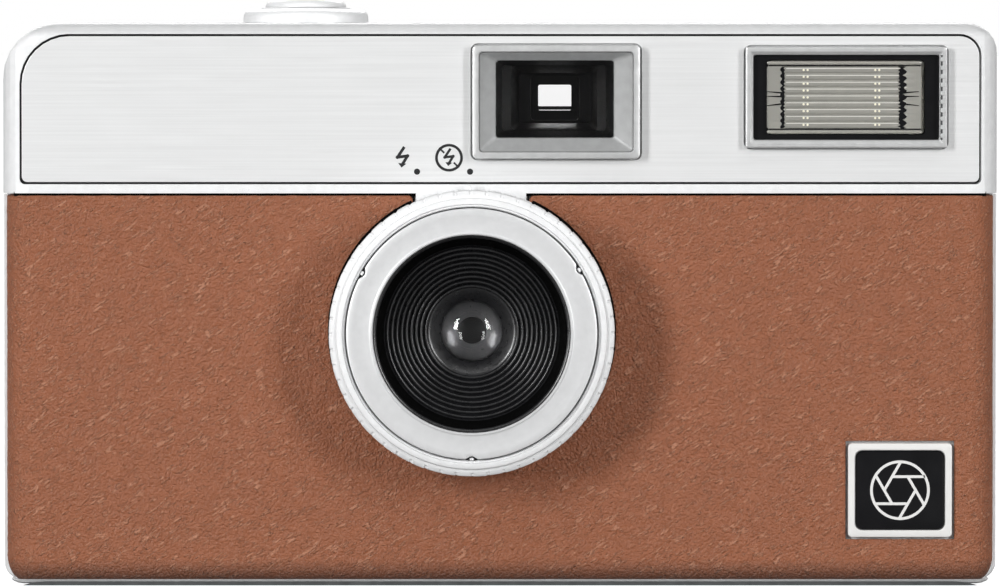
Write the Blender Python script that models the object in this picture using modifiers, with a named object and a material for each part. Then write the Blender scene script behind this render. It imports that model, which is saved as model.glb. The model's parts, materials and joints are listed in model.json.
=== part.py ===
"""A compact 35 mm half frame camera, as separate pieces. +Z is up and the lens looks along -Y.

The numbers are millimetres, and MM turns them into Blender's metres where a mesh is made. The origin is at
the middle of the base, on the surface that the camera stands on.
"""

import math

import bmesh
import bpy
from mathutils import Matrix, Vector

MM = 0.001
MERGE = 0.0001  # metres, under Blender's own merge distances
GAP = 0.3  # between pieces that meet

# Casing
BODY_WIDTH = 110.0
BODY_HEIGHT = 62.0
BODY_FRONT = -10.5
BODY_BACK = 18.7
SIDE = BODY_WIDTH / 2
WALL = 1.5
RADIUS_TOP_LEFT = 6.3
RADIUS_TOP_RIGHT = 3.5
RADIUS_BOTTOM = 2.3
RADIUS_PLAN = 3.0
RIM_EDGE = 1.2
SEAM = 43.1  # leather below it, silver above it
CAVITY_SIDE = SIDE - 2.2
CAVITY_FRONT = BODY_FRONT + 1.8
CAVITY_BACK = BODY_BACK - 1.6

# Leather
LEATHER = 0.7
LEATHER_SIDE = SIDE - 0.4
LEATHER_BOTTOM = 0.7
LEATHER_BACK = -2.0
LEATHER_BEND = 2.8

# Screws: names and places across
BASE_SCREWS = (("base_screw_left", -46.0), ("base_screw_right", 8.0))
BASE_SCREW_Y = 10.0
SIDE_SCREWS = (("side_screw_left", -1), ("side_screw_right", 1))
SIDE_SCREW_Y = 4.0
SIDE_SCREW_Z = 47.5
SCREW_RADIUS = 1.5

# Lens, on an axis parallel to Y
LENS_X = -3.1
LENS_Z = 28.0
RING_RADIUS = 15.7
RING_FRONT = -18.9
RING_BACK = BODY_FRONT - 0.4
TRIM_FRONT = -19.5
TRIM_BACK = -18.7
BARREL_RADIUS = 13.5
CONE_MOUTH = 10.85
GLASS_RADIUS = 3.26
APERTURE_RADIUS = 1.16  # a 22 mm lens at f/9.5
KNURLS = 28
CONE_STEPS = 9

# Shutter: the blade's pivot beside the lens axis, and the lever's pivot
BLADE_X = LENS_X + 8.5
BLADE_Z = LENS_Z + 7.5
LEVER_X = -14.2
LEVER_Z = 51.0
PIVOT_HOLE = 0.6

# Back door
DOOR_FRONT = BODY_BACK - 1.4
DOOR_LEFT = -50.4
DOOR_RIGHT = 52.3
DOOR_BOTTOM = 1.9
DOOR_TOP = 51.0
HINGE_X = -51.4
HINGE_Y = 17.8
HINGE_RADIUS = 0.9

# Film path
FILM_PLANE = 13.5
CARTRIDGE_X = 36.4
CARTRIDGE_Y = 4.7
CARTRIDGE_RADIUS = 12.6
CARTRIDGE_LOW = 3.8
CARTRIDGE_HIGH = 51.0
SPOOL_X = -38.5
SPOOL_Y = 6.0
TAKE_UP_RADIUS = 10.4
WHEEL_RADIUS = 13.5
WHEEL_LOW = 53.0
WHEEL_HIGH = 57.6
SPROCKET_X = -21.5
SPROCKET_Y = 8.8
SPROCKET_RADIUS = 4.5
FLOOR_LOW = 2.7
FLOOR_HIGH = 3.8
CRANK_PIVOT_X = CARTRIDGE_X - 7.4
CRANK_PIVOT_Z = 0.8
CRANK_KNOB_X = CARTRIDGE_X + 5.9

# Battery bay, for one AAA cell standing up
BATTERY_X = -22.4
BATTERY_Y = -2.2
BATTERY_RADIUS = 5.4
BATTERY_HINGE_Y = 4.4
BATTERY_HINGE_Z = 0.75

# Windows in the face plate
PLATE_FRONT = BODY_FRONT + 0.15
PLATE_BACK = PLATE_FRONT + 0.5
PLATE_POCKET = BODY_FRONT + 0.8
FINDER_X = 6.2
FINDER_Z = 53.3
FINDER_SIZE = (18.5, 12.5)
FINDER_OPENING = (13.0, 8.5)
FINDER_MOUTH = (17.2, 11.2)
FLASH_X = 38.2
FLASH_Z = 53.8
FLASH_SIZE = (22.2, 11.1)
FLASH_OPENING = (19.8, 8.9)
FLASH_TUBE_Z = 55.8
BADGE_X = 44.2
BADGE_Z = 10.4
BADGE_SIZE = (11.5, 10.4)

# Top
BUTTON_X = -21.5
BUTTON_Y = 4.1
COLLAR_RADIUS = 6.9
COLLAR_TOP = 63.4
BUTTON_RADIUS = 4.4
BUTTON_TOP = 65.4
STEM_RADIUS = 2.2
LAMP_X = 18.5
LAMP_Z = 55.0

FORWARD = Matrix.Rotation(math.pi / 2, 4, "X")  # local Z looks out of the lens
SIDEWAYS = Matrix.Rotation(math.pi / 2, 4, "Z") @ FORWARD  # local Z looks along +X
UPRIGHT = Matrix.Identity(4)

SILVER = ("silver_paint", (0.80, 0.80, 0.80), 0.38, 0.35)
ALUMINIUM = ("brushed_aluminium", (0.83, 0.83, 0.83), 0.35, 0.9)
CHROME = ("polished_chrome", (0.85, 0.85, 0.86), 0.12, 1.0)
LEATHERETTE = ("brown_leatherette", (0.30, 0.13, 0.075), 0.55, 0.0)
BLACK = ("black_moulding", (0.015, 0.015, 0.017), 0.5, 0.0)
GLOSS_BLACK = ("gloss_black", (0.02, 0.02, 0.022), 0.2, 0.0)
STEEL = ("spring_steel", (0.55, 0.55, 0.56), 0.3, 1.0)
BRASS = ("brass", (0.72, 0.52, 0.22), 0.3, 1.0)
CLEAR = ("clear_plastic", (0.9, 0.93, 0.95), 0.05, 0.0)
DIFFUSER = ("flash_diffuser", (0.75, 0.76, 0.70), 0.3, 0.0)
WHITE = ("white_plastic", (0.85, 0.85, 0.83), 0.45, 0.0)
AMBER = ("amber_lamp", (0.9, 0.35, 0.05), 0.2, 0.0)
GREEN = ("circuit_board", (0.03, 0.20, 0.09), 0.5, 0.0)
FOAM = ("seal_foam", (0.02, 0.02, 0.02), 0.95, 0.0)


def clear_scene():
    for obj in list(bpy.data.objects):
        bpy.data.objects.remove(obj)


def collection(name):
    made = bpy.data.collections.new(name)
    bpy.context.scene.collection.children.link(made)
    return made


def material(finish):
    name, colour, roughness, metallic = finish
    made = bpy.data.materials.get(name)
    if made:
        return made
    made = bpy.data.materials.new(name)
    made.use_nodes = True
    shader = made.node_tree.nodes["Principled BSDF"]
    shader.inputs["Base Color"].default_value = (*colour, 1.0)
    shader.inputs["Roughness"].default_value = roughness
    shader.inputs["Metallic"].default_value = metallic
    return made


def piece(name, mesh, finish, at=(0.0, 0.0, 0.0), turn=UPRIGHT):
    """A named part of the camera, or a cutter when it has no finish."""
    obj = bpy.data.objects.new(name, mesh)
    obj.matrix_world = Matrix.Translation(Vector(at) * MM) @ turn
    if finish:
        mesh.materials.append(material(finish))
        PARTS.objects.link(obj)
    else:
        CUTTERS.objects.link(obj)
        obj.hide_render = True
        obj.display_type = "WIRE"
    return obj


def mesh_of(name, shape):
    mesh = bpy.data.meshes.new(name)
    shape.to_mesh(mesh)
    shape.free()
    return mesh


def pivoted(obj, pivot):
    """Puts the origin on the joint's axis, and leaves the form where it is."""
    shift = obj.matrix_world.inverted() @ (Vector(pivot) * MM)
    obj.data.transform(Matrix.Translation(-shift))
    obj.location = Vector(pivot) * MM
    return obj


def rounded(obj, width, segments=2, angle=40):
    """Rounds the sharp edges with a Bevel."""
    bevel = obj.modifiers.new("rounded", "BEVEL")
    bevel.width = width * MM
    bevel.segments = segments
    bevel.limit_method = "ANGLE"
    bevel.angle_limit = math.radians(angle)
    return obj


def block(name, low, high, finish=None, edge=0.0):
    """A box between two corners."""
    shape = bmesh.new()
    bmesh.ops.create_cube(shape, size=1.0)
    size = [(b - a) * MM for a, b in zip(low, high)]
    middle = [(a + b) / 2 for a, b in zip(low, high)]
    bmesh.ops.scale(shape, vec=size, verts=shape.verts)
    obj = piece(name, mesh_of(name, shape), finish, middle)
    return rounded(obj, edge) if edge else obj


def rod(name, at, radius, low, high, finish=None, turn=UPRIGHT, sides=32):
    """A cylinder along the turned Z axis, from low to high."""
    shape = bmesh.new()
    bmesh.ops.create_cone(
        shape,
        cap_ends=True,
        segments=sides,
        radius1=radius * MM,
        radius2=radius * MM,
        depth=(high - low) * MM,
    )
    bmesh.ops.translate(shape, vec=(0, 0, (low + high) / 2 * MM), verts=shape.verts)
    mesh = mesh_of(name, shape)
    if finish:
        mesh.shade_smooth()
        mesh.set_sharp_from_angle(angle=math.radians(35))
    return piece(name, mesh, finish, at, turn)


def turned(name, profile, finish, at, turn=UPRIGHT, steps=36, closed=True):
    """A ring or a solid of revolution: (radius, height) down the outer side, then up the inner one."""
    shape = bmesh.new()
    corners = [shape.verts.new((radius * MM, 0, height * MM)) for radius, height in profile]
    ends = corners[1:] + corners[:1] if closed else corners[1:]
    for corner, following in zip(corners, ends):
        shape.edges.new((corner, following))
    obj = piece(name, mesh_of(name, shape), finish, at, turn)
    screw = obj.modifiers.new("turned", "SCREW")
    screw.steps = steps
    screw.render_steps = steps
    screw.use_merge_vertices = True
    screw.merge_threshold = MERGE / 10
    screw.use_smooth_shade = True
    return obj


def arc(middle, radius, start, end, steps):
    """Points round an arc, in degrees."""
    points = []
    for step in range(steps + 1):
        angle = math.radians(start + (end - start) * step / steps)
        points.append((middle[0] + radius * math.cos(angle), middle[1] + radius * math.sin(angle)))
    return points


def round_box(low, high, radii, steps=6):
    """An outline with four round corners: bottom left, bottom right, top right, top left."""
    (left, bottom), (right, top) = low, high
    corners = ((left, bottom, 1, 1), (right, bottom, -1, 1), (right, top, -1, -1), (left, top, 1, -1))
    points = []
    for index, ((x, y, along, up), radius) in enumerate(zip(corners, radii)):
        start = 180 + 90 * index
        if radius:
            points += arc((x + along * radius, y + up * radius), radius, start, start + 90, steps)
        else:
            points.append((x, y))
    return points


def centred(middle, size, radius, steps=4):
    """A round cornered rectangle about a middle point."""
    low = (middle[0] - size[0] / 2, middle[1] - size[1] / 2)
    high = (middle[0] + size[0] / 2, middle[1] + size[1] / 2)
    return round_box(low, high, [radius] * 4, steps)


def slab(name, loops, low, high, finish=None, turn=UPRIGHT):
    """A flat outline, with holes for the loops after the first, from low to high along the turned Z axis."""
    curve = bpy.data.curves.new(name, "CURVE")
    curve.dimensions = "2D"
    curve.fill_mode = "BOTH"
    curve.extrude = (high - low) / 2 * MM
    for loop in loops:
        spline = curve.splines.new("POLY")
        spline.points.add(len(loop) - 1)
        for point, (x, y) in zip(spline.points, loop):
            point.co = (x * MM, y * MM, 0, 1)
        spline.use_cyclic_u = True
    flat = bpy.data.objects.new(name + "_outline", curve)
    CUTTERS.objects.link(flat)
    mesh = bpy.data.meshes.new_from_object(flat.evaluated_get(bpy.context.evaluated_depsgraph_get()))
    bpy.data.objects.remove(flat)
    shape = bmesh.new()
    shape.from_mesh(mesh)
    bmesh.ops.remove_doubles(shape, verts=shape.verts, dist=MERGE / 20)
    if len(loops) == 1:
        bmesh.ops.dissolve_limit(shape, angle_limit=0.01, verts=shape.verts, edges=shape.edges)
    bmesh.ops.recalc_face_normals(shape, faces=shape.faces)
    bmesh.ops.translate(shape, vec=(0, 0, (low + high) / 2 * MM), verts=shape.verts)
    return piece(name, mesh_of(name, shape), finish, (0, 0, 0), turn)


def upright_slab(name, loops, front, back, finish=None):
    """A flat outline in X and Z, from front to back along Y."""
    return slab(name, loops, -back, -front, finish, FORWARD)


def funnel(name, middle, narrow, wide, back, front):
    """A block that widens from its back to its front, along Y."""
    shape = bmesh.new()
    rings = []
    for size, y in ((narrow, back), (wide, front)):
        outline = centred(middle, size, 0)
        rings.append([shape.verts.new(Vector((x, y, z)) * MM) for x, z in outline])
    for index in range(4):
        following = (index + 1) % 4
        shape.faces.new((rings[0][index], rings[0][following], rings[1][following], rings[1][index]))
    for ring in rings:
        shape.faces.new(ring)
    bmesh.ops.recalc_face_normals(shape, faces=shape.faces)
    return piece(name, mesh_of(name, shape), None)


def change(obj, operation, others):
    for other in others:
        boolean = obj.modifiers.new(other.name, "BOOLEAN")
        boolean.operation = operation
        boolean.object = other
    return obj


def cut(obj, *others):
    return change(obj, "DIFFERENCE", others)


def join(obj, *others):
    return change(obj, "UNION", others)


def keep(obj, *others):
    return change(obj, "INTERSECT", others)


def ring_outline(teeth, inner, outer, share):
    """A circle of raised teeth, each of which takes a share of its pitch."""
    pitch = 360 / teeth
    points = []
    for tooth in range(teeth):
        middle = 90 + tooth * pitch
        points += arc((0, 0), outer, middle - pitch * share / 2, middle + pitch * share / 2, 1)
        points += arc((0, 0), inner, middle + pitch * share * 0.62, middle + pitch * (1 - share * 0.62), 1)
    return points


def moved(points, dx, dy):
    return [(x + dx, y + dy) for x, y in points]


# ---------------------------------------------------------------- casing


def casing(name, finish):
    """The whole outer form: a front outline, rounded in plan as well."""
    corners = (RADIUS_BOTTOM, RADIUS_BOTTOM, RADIUS_TOP_RIGHT, RADIUS_TOP_LEFT)
    outline = round_box((-SIDE, 0), (SIDE, BODY_HEIGHT), corners)
    form = rounded(upright_slab(name, [outline], BODY_FRONT, BODY_BACK, finish), RIM_EDGE, 3)
    plan = round_box((-SIDE, BODY_FRONT), (SIDE, BODY_BACK), [RADIUS_PLAN] * 4)
    return keep(form, slab(name + "_plan", [plan], -1, BODY_HEIGHT + 1))


def cavity(name, low, high):
    corners = (1, 1, 2, 4.5)
    outline = round_box((-CAVITY_SIDE, low), (CAVITY_SIDE, high), corners)
    return upright_slab(name, [outline], CAVITY_FRONT, CAVITY_BACK)


def door_opening(name):
    low = (HINGE_X - 1.2, CAVITY_BACK - 1, DOOR_BOTTOM - 0.4)
    return block(name, low, (DOOR_RIGHT + GAP, 20, DOOR_TOP + 0.4))


def front_cover():
    cover = casing("front_cover", SILVER)
    top = block("above_seam", (-60, -20, SEAM - 0.1), (60, 30, 70))
    outside = [(-60, -14), (60, -14), (60, LEATHER_BACK + 0.2), (SIDE - 1.3, LEATHER_BACK + 0.2)]
    outside += arc((SIDE - 3.3, BODY_FRONT + 2.9), 2, 0, -90, 4)
    outside += arc((-SIDE + 3.3, BODY_FRONT + 2.9), 2, -90, -180, 4)
    outside += [(-SIDE + 1.3, LEATHER_BACK + 0.2), (-60, LEATHER_BACK + 0.2)]
    seat = slab("leather_seat", [outside], LEATHER_BOTTOM - 0.2, 50)
    inside = cavity("front_cavity", 1.6, 60)
    lens_hole = rod("lens_hole", (LENS_X, 0, LENS_Z), 11.3, 5, 15, turn=FORWARD)
    crank_hole = rod("crank_hole", (CARTRIDGE_X, CARTRIDGE_Y, 0), 9.6, -1, 3, sides=48)
    release_hole = rod("release_hole", (SPROCKET_X, SPROCKET_Y, 0), 2.1, -1, 3, sides=24)
    battery_hole = block("battery_hole", (-30.4, -8.3, -1), (-14.4, BATTERY_HINGE_Y + 0.9, 3))
    latch_slot = block("latch_slot", (48, 8, 23), (SIDE + 1, 11, 33))
    latch_pocket = block("latch_pocket", (SIDE - 1.1, 5.6, 19.8), (SIDE + 1, 13.4, 36.4))
    cut(cover, top, seat, inside, door_opening("door_opening_low"), lens_hole, crank_hole, release_hole)
    cut(cover, battery_hole, latch_slot, latch_pocket)
    for name, x in BASE_SCREWS:
        cut(cover, rod(name + "_hole", (x, BASE_SCREW_Y, 0), SCREW_RADIUS + GAP, -1, 0.9, sides=20))


def top_cover():
    cover = casing("top_cover", SILVER)
    below = block("below_seam", (-60, -20, -5), (60, 30, SEAM + 0.1))
    inside = cavity("top_cavity", 30, BODY_HEIGHT - WALL)
    pocket = upright_slab("plate_pocket", [plate_outline(0.25)], -14, PLATE_POCKET)
    finder_window = centred((FINDER_X, FINDER_Z), [side + 0.6 for side in FINDER_OPENING], 0.6)
    finder_hole = upright_slab("finder_hole", [finder_window], -14, CAVITY_FRONT + 1)
    flash_window = centred((FLASH_X, FLASH_Z), [side + 0.6 for side in FLASH_OPENING], 0.6)
    flash_hole = upright_slab("flash_hole", [flash_window], -14, CAVITY_FRONT + 1)
    eyepiece_hole = block("eyepiece_hole", (FINDER_X - 4.6, 15, 52.0), (FINDER_X + 4.6, 22, 57.2))
    slot_low = (SPOOL_X - 8.6, 15, WHEEL_LOW - 0.5)
    wheel_slot = block("wheel_slot", slot_low, (SPOOL_X + 8.6, 22, WHEEL_HIGH + 0.5))
    lamp_hole = rod("lamp_hole", (LAMP_X, 0, LAMP_Z), 1.8, -22, -15, turn=FORWARD, sides=24)
    stem_hole = rod("stem_hole", (BUTTON_X, BUTTON_Y, 0), STEM_RADIUS + 0.4, 58, 66, sides=24)
    counter_hole = block("counter_hole", (SPOOL_X - 3.2, -4.4, 58), (SPOOL_X + 3.2, -0.4, 64))
    strap_hole = block("strap_hole", (50, 6.0, 50.4), (58, 13.2, 56.6))
    cut(cover, below, inside, pocket, door_opening("door_opening_high"), finder_hole, flash_hole)
    cut(cover, eyepiece_hole, wheel_slot, lamp_hole, stem_hole, counter_hole, strap_hole)
    tongue = block("tongue", (-9.3, BODY_FRONT, 41.9), (2.9, BODY_FRONT + 0.7, SEAM + 1.0))
    join(cover, tongue)
    for name, side in SIDE_SCREWS:
        at = (side * SIDE, SIDE_SCREW_Y, SIDE_SCREW_Z)
        cut(cover, rod(name + "_hole", at, SCREW_RADIUS + GAP, -0.9, 0.9, turn=SIDEWAYS, sides=20))


def plate_outline(grow):
    corners = (0.6, 0.6, 2.2 + grow, 5.3 + grow)
    return round_box((-52.8 - grow, 44.45 - grow), (52.9 + grow, 60.55 + grow), corners, 8)


def face_plate():
    windows = [
        centred((FINDER_X, FINDER_Z), [side + 0.4 for side in FINDER_SIZE], 0.8),
        centred((FLASH_X, FLASH_Z), [side + 0.4 for side in FLASH_SIZE], 0.8),
    ]
    upright_slab("face_plate", [plate_outline(0), *windows], PLATE_FRONT, PLATE_BACK, ALUMINIUM)


def front_leather():
    """A strip bent round the front and both sides."""
    inner_side = LEATHER_SIDE - LEATHER
    centre = LEATHER_SIDE - LEATHER_BEND
    bend = BODY_FRONT + LEATHER_BEND
    wrap = [(-LEATHER_SIDE, LEATHER_BACK)]
    wrap += arc((-centre, bend), LEATHER_BEND, 180, 270, 6)
    wrap += arc((centre, bend), LEATHER_BEND, 270, 360, 6)
    wrap += [(LEATHER_SIDE, LEATHER_BACK), (inner_side, LEATHER_BACK)]
    wrap += arc((centre, bend), LEATHER_BEND - LEATHER, 360, 270, 6)
    wrap += arc((-centre, bend), LEATHER_BEND - LEATHER, 270, 180, 6)
    wrap += [(-inner_side, LEATHER_BACK)]
    skin = slab("front_leather", [wrap], LEATHER_BOTTOM, SEAM - 0.15, LEATHERETTE)
    corners = (RADIUS_BOTTOM - 0.3, RADIUS_BOTTOM - 0.3, 0, 0)
    front = round_box((-LEATHER_SIDE - 0.01, LEATHER_BOTTOM - 0.01), (LEATHER_SIDE + 0.01, 60), corners)
    keep(skin, upright_slab("leather_front", [front], -14, 5))
    badge_window = centred((BADGE_X, BADGE_Z), [side + 0.5 for side in BADGE_SIZE], 0.5)
    cut(
        skin,
        rod("leather_lens_hole", (LENS_X, 0, LENS_Z), BARREL_RADIUS + 0.35, 5, 15, turn=FORWARD, sides=48),
        block("tongue_notch", (-9.6, -14, 41.6), (3.2, -5, 50)),
        upright_slab("badge_hole", [badge_window], -14, -5),
    )


def badge():
    window = centred((BADGE_X, BADGE_Z), (9.9, 8.8), 0.9)
    frame = [centred((BADGE_X, BADGE_Z), BADGE_SIZE, 0.45), window]
    upright_slab("badge_frame", frame, BODY_FRONT - 0.45, BODY_FRONT + 0.7, CHROME)
    inlay = [centred((BADGE_X, BADGE_Z), (9.5, 8.4), 0.8)]
    upright_slab("badge_inlay", inlay, BODY_FRONT - 0.05, BODY_FRONT + 0.6, GLOSS_BLACK)


def main_chassis():
    """One black moulding: film chambers, battery bay, film gate, light box and floor."""
    chassis = slab("main_chassis", [centred((0.5, 6.9), (100, 19.6), 2)], FLOOR_LOW, FLOOR_HIGH, BLACK)
    film_axis = (CARTRIDGE_X, CARTRIDGE_Y, 0)
    spool_axis = (SPOOL_X, SPOOL_Y, 0)
    battery_axis = (BATTERY_X, BATTERY_Y, 0)
    sprocket_axis = (SPROCKET_X, SPROCKET_Y, 0)
    film_tube = rod("film_tube", film_axis, CARTRIDGE_RADIUS + 0.5, FLOOR_LOW, 51.9, sides=40)
    take_up_tube = rod("take_up_tube", spool_axis, TAKE_UP_RADIUS + 0.8, FLOOR_LOW, 51.2)
    battery_tube = rod("battery_tube", battery_axis, BATTERY_RADIUS + 0.8, 2.2, 49)
    gate_plate = block("gate_plate", (-28, FILM_PLANE - 1.3, 3), (25, FILM_PLANE - 0.1, 48))
    light_box_high = (LENS_X + 10.4, FILM_PLANE - 1, LENS_Z + 14)
    light_box = block("light_box", (LENS_X - 10.4, -2.4, LENS_Z - 14), light_box_high)
    join(chassis, film_tube, take_up_tube, battery_tube, gate_plate, light_box)
    film_hollow = rod("film_hollow", film_axis, CARTRIDGE_RADIUS, CARTRIDGE_LOW, CARTRIDGE_HIGH, sides=40)
    film_mouth = block(
        "film_mouth",
        (CARTRIDGE_X - CARTRIDGE_RADIUS, CARTRIDGE_Y, CARTRIDGE_LOW),
        (CARTRIDGE_X + CARTRIDGE_RADIUS, 25, CARTRIDGE_HIGH),
    )
    take_up_hollow = rod("take_up_hollow", spool_axis, TAKE_UP_RADIUS, FLOOR_HIGH, 50)
    take_up_mouth = block("take_up_mouth", (SPOOL_X - TAKE_UP_RADIUS, SPOOL_Y, FLOOR_HIGH), (-27.6, 25, 50))
    spool_hole = rod("spool_hole", spool_axis, 2.7, 48, 55, sides=24)
    battery_hollow = rod("battery_hollow", battery_axis, BATTERY_RADIUS, 1, 48.2)
    gate = block("gate", (LENS_X - 8.5, 5, LENS_Z - 12), (LENS_X + 8.5, 20, LENS_Z + 12))
    light_hollow_high = (LENS_X + 9.4, FILM_PLANE - 1.3, LENS_Z + 13)
    light_hollow = block("light_hollow", (LENS_X - 9.4, -5, LENS_Z - 13), light_hollow_high)
    sprocket_slot = block("sprocket_slot", (-27.7, 11, 7), (-15.6, 31, 49))
    sprocket_room = rod("sprocket_room", sprocket_axis, 6.3, 7, 49, sides=24)
    sprocket_hole = rod("sprocket_hole", sprocket_axis, 1.9, 0, 6, sides=24)
    fork_hole = rod("fork_hole", film_axis, 3.0, 0, 5, sides=24)
    behind = block("behind_chassis", (-60, DOOR_FRONT - 0.35, 0), (60, 30, 60))
    cut(chassis, film_hollow, film_mouth, take_up_hollow, take_up_mouth, spool_hole, light_hollow, gate)
    cut(chassis, battery_hollow, sprocket_slot, sprocket_room, sprocket_hole, fork_hole, behind)


def back_door():
    """A flat door that ends in a barrel round the hinge pin."""
    section = arc((HINGE_X, HINGE_Y), HINGE_RADIUS, 90, 270, 8)
    section += [(DOOR_LEFT, DOOR_FRONT), (DOOR_RIGHT, DOOR_FRONT), (DOOR_RIGHT, BODY_BACK)]
    pin_hole = arc((HINGE_X, HINGE_Y), 0.65, 0, 330, 11)
    axis = (HINGE_X, HINGE_Y, 0)
    door = pivoted(slab("back_door", [section, pin_hole], DOOR_BOTTOM, DOOR_TOP, BLACK), axis)
    pocket = upright_slab("back_pocket", [back_outline(0.2)], BODY_BACK - 0.65, 22)
    catch = block("door_catch", (49.6, DOOR_FRONT - 1.6, 25.5), (51.2, DOOR_FRONT + 0.5, 30.5))
    cut(door, pocket)
    join(door, catch)
    pivoted(upright_slab("back_leather", [back_outline(0)], BODY_BACK - 0.5, BODY_BACK, LEATHERETTE), axis)
    rod("door_hinge_pin", axis, 0.4, DOOR_BOTTOM, DOOR_TOP, STEEL, sides=16)
    block("light_seal", (-50.9, 15.4, 4.2), (-49.9, 16.9, 49), FOAM)


def back_outline(grow):
    return round_box((-47 - grow, 5 - grow), (49 + grow, 48 + grow), [2 + grow] * 4)


def pressure():
    block("pressure_plate", (LENS_X - 13, 13.9, LENS_Z - 16), (LENS_X + 13, 14.7, LENS_Z + 16), STEEL, 0.2)
    chord, rise, thickness = 16.0, 1.3, 0.3
    radius = (chord * chord / 4 + rise * rise) / (2 * rise)
    half = math.degrees(math.asin(chord / 2 / radius))
    middle = (LENS_X, DOOR_FRONT - 0.3 - rise + radius)
    band = arc(middle, radius, 270 - half, 270 + half, 10)
    band += arc(middle, radius - thickness, 270 + half, 270 - half, 10)
    pivoted(slab("pressure_spring", [band], LENS_Z - 4, LENS_Z + 4, STEEL), (HINGE_X, HINGE_Y, 0))


def door_latch():
    """A ribbed slider in the side wall, with an arm inside."""
    latch = block("door_latch", (SIDE - 0.85, 5.9, 20.2), (SIDE - 0.15, 13.1, 32.4), SILVER)
    stem = block("latch_stem", (50.2, 8.4, 23.4), (SIDE - 0.5, 10.6, 28.4))
    arm = block("latch_arm", (50.2, 8.4, 21), (51.2, 14.9, 24.6))
    join(latch, stem, arm)
    for rib in range(5):
        height = 22.4 + rib * 2
        cut(latch, block(f"latch_groove_{rib}", (SIDE - 0.45, 5, height), (SIDE + 1, 14, height + 0.7)))


def strap_bar():
    rod("strap_bar", (SIDE - 1.4, 9.6, 0), 0.8, 50.7, 56.3, STEEL, sides=16)


def screws():
    for name, x in BASE_SCREWS:
        head = rod(name, (x, BASE_SCREW_Y, 0), SCREW_RADIUS, 0.15, 0.7, STEEL, sides=20)
        cut_cross(name, head, (x, BASE_SCREW_Y, 0.15), UPRIGHT)
    for name, side in SIDE_SCREWS:
        at = (side * (SIDE - 0.45), SIDE_SCREW_Y, SIDE_SCREW_Z)
        head = rod(name, at, SCREW_RADIUS, -0.25, 0.25, STEEL, SIDEWAYS, 20)
        outside = (side * (SIDE - 0.2), SIDE_SCREW_Y, SIDE_SCREW_Z)
        cut_cross(name, head, outside, SIDEWAYS)


def cut_cross(name, head, at, turn):
    """A cross recess in a screw head."""
    for index, size in enumerate(((1.9, 0.4), (0.4, 1.9))):
        arm = slab(f"{name}_cross_{index}", [centred((0, 0), size, 0)], -0.2, 0.2, None, turn)
        arm.location = Vector(at) * MM
        cut(head, arm)


# ---------------------------------------------------------------- film transport


def advance():
    centre = (SPOOL_X, SPOOL_Y, 0)
    teeth = moved(ring_outline(36, WHEEL_RADIUS - 0.6, WHEEL_RADIUS, 0.45), SPOOL_X, SPOOL_Y)
    bore = arc((SPOOL_X, SPOOL_Y), 1.2, 0, 345, 23)
    pivoted(slab("advance_wheel", [teeth, bore], WHEEL_LOW, WHEEL_HIGH, BLACK), centre)
    spool = rod("take_up_spool", centre, 6.5, 4.3, 49.4, BLACK)
    shaft = rod("spool_shaft", centre, 2.2, 49, WHEEL_LOW - GAP, sides=24)
    slot = block("spool_slot", (SPOOL_X - 8, SPOOL_Y - 0.6, 12), (SPOOL_X + 8, SPOOL_Y + 0.6, 44))
    join(spool, shaft)
    cut(spool, slot)


def film_sprocket():
    sprocket = rod("film_sprocket", (SPROCKET_X, SPROCKET_Y, 0), 1.5, 2.9, 48.5, BLACK, sides=24)
    teeth = ring_outline(6, SPROCKET_RADIUS, SPROCKET_RADIUS + 1.1, 0.16)
    for index, row in enumerate((-1, 1)):
        height = LENS_Z + row * 14.1
        outline = moved(teeth, SPROCKET_X, SPROCKET_Y)
        wheel = slab(f"sprocket_wheel_{index}", [outline], height - 1, height + 1)
        join(sprocket, wheel)


def counter():
    rod("counter_dial", (SPOOL_X, SPOOL_Y, 0), 10.6, 58.4, 59.2, WHITE, sides=48)
    block("counter_window", (SPOOL_X - 3, -4.2, 60.4), (SPOOL_X + 3, -0.6, 61.8), CLEAR, 0.2)


def rewind():
    centre = (CARTRIDGE_X, CARTRIDGE_Y, 0)
    base = rod("rewind_base", centre, 9.2, 0.2, 2.4, SILVER, sides=48)
    channel_low = (CARTRIDGE_X - 12, CARTRIDGE_Y - 2.4, -1)
    channel = block("crank_channel", channel_low, (CARTRIDGE_X + 12, CARTRIDGE_Y + 2.4, 1.9))
    knob_room = rod("knob_room", (CRANK_KNOB_X, CARTRIDGE_Y, 0), 2.3, -1, 4, sides=24)
    cut(base, channel, knob_room)
    ends = [(CRANK_PIVOT_X - 0.5, CARTRIDGE_Y - 2), (CARTRIDGE_X + 8.1, CARTRIDGE_Y + 2)]
    arm = slab("rewind_handle", [round_box(*ends, (0.3, 1.9, 1.9, 0.3))], 0.3, 1.1, CHROME)
    pivoted(arm, (CRANK_PIVOT_X, CARTRIDGE_Y, CRANK_PIVOT_Z))
    join(arm, rod("crank_knob", (CRANK_KNOB_X, CARTRIDGE_Y, 0), 1.8, 0.9, 2.2, sides=20))
    fork = rod("rewind_fork", centre, 2.4, 2.75, 5.2, BLACK, sides=24)
    blade_low = (CARTRIDGE_X - 2.3, CARTRIDGE_Y - 0.6, 5)
    join(fork, block("fork_blade", blade_low, (CARTRIDGE_X + 2.3, CARTRIDGE_Y + 0.6, 9)))
    rod("rewind_release", (SPROCKET_X, SPROCKET_Y, 0), 1.75, 0.2, 1.7, SILVER, sides=24)


# ---------------------------------------------------------------- lens and shutter


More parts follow.
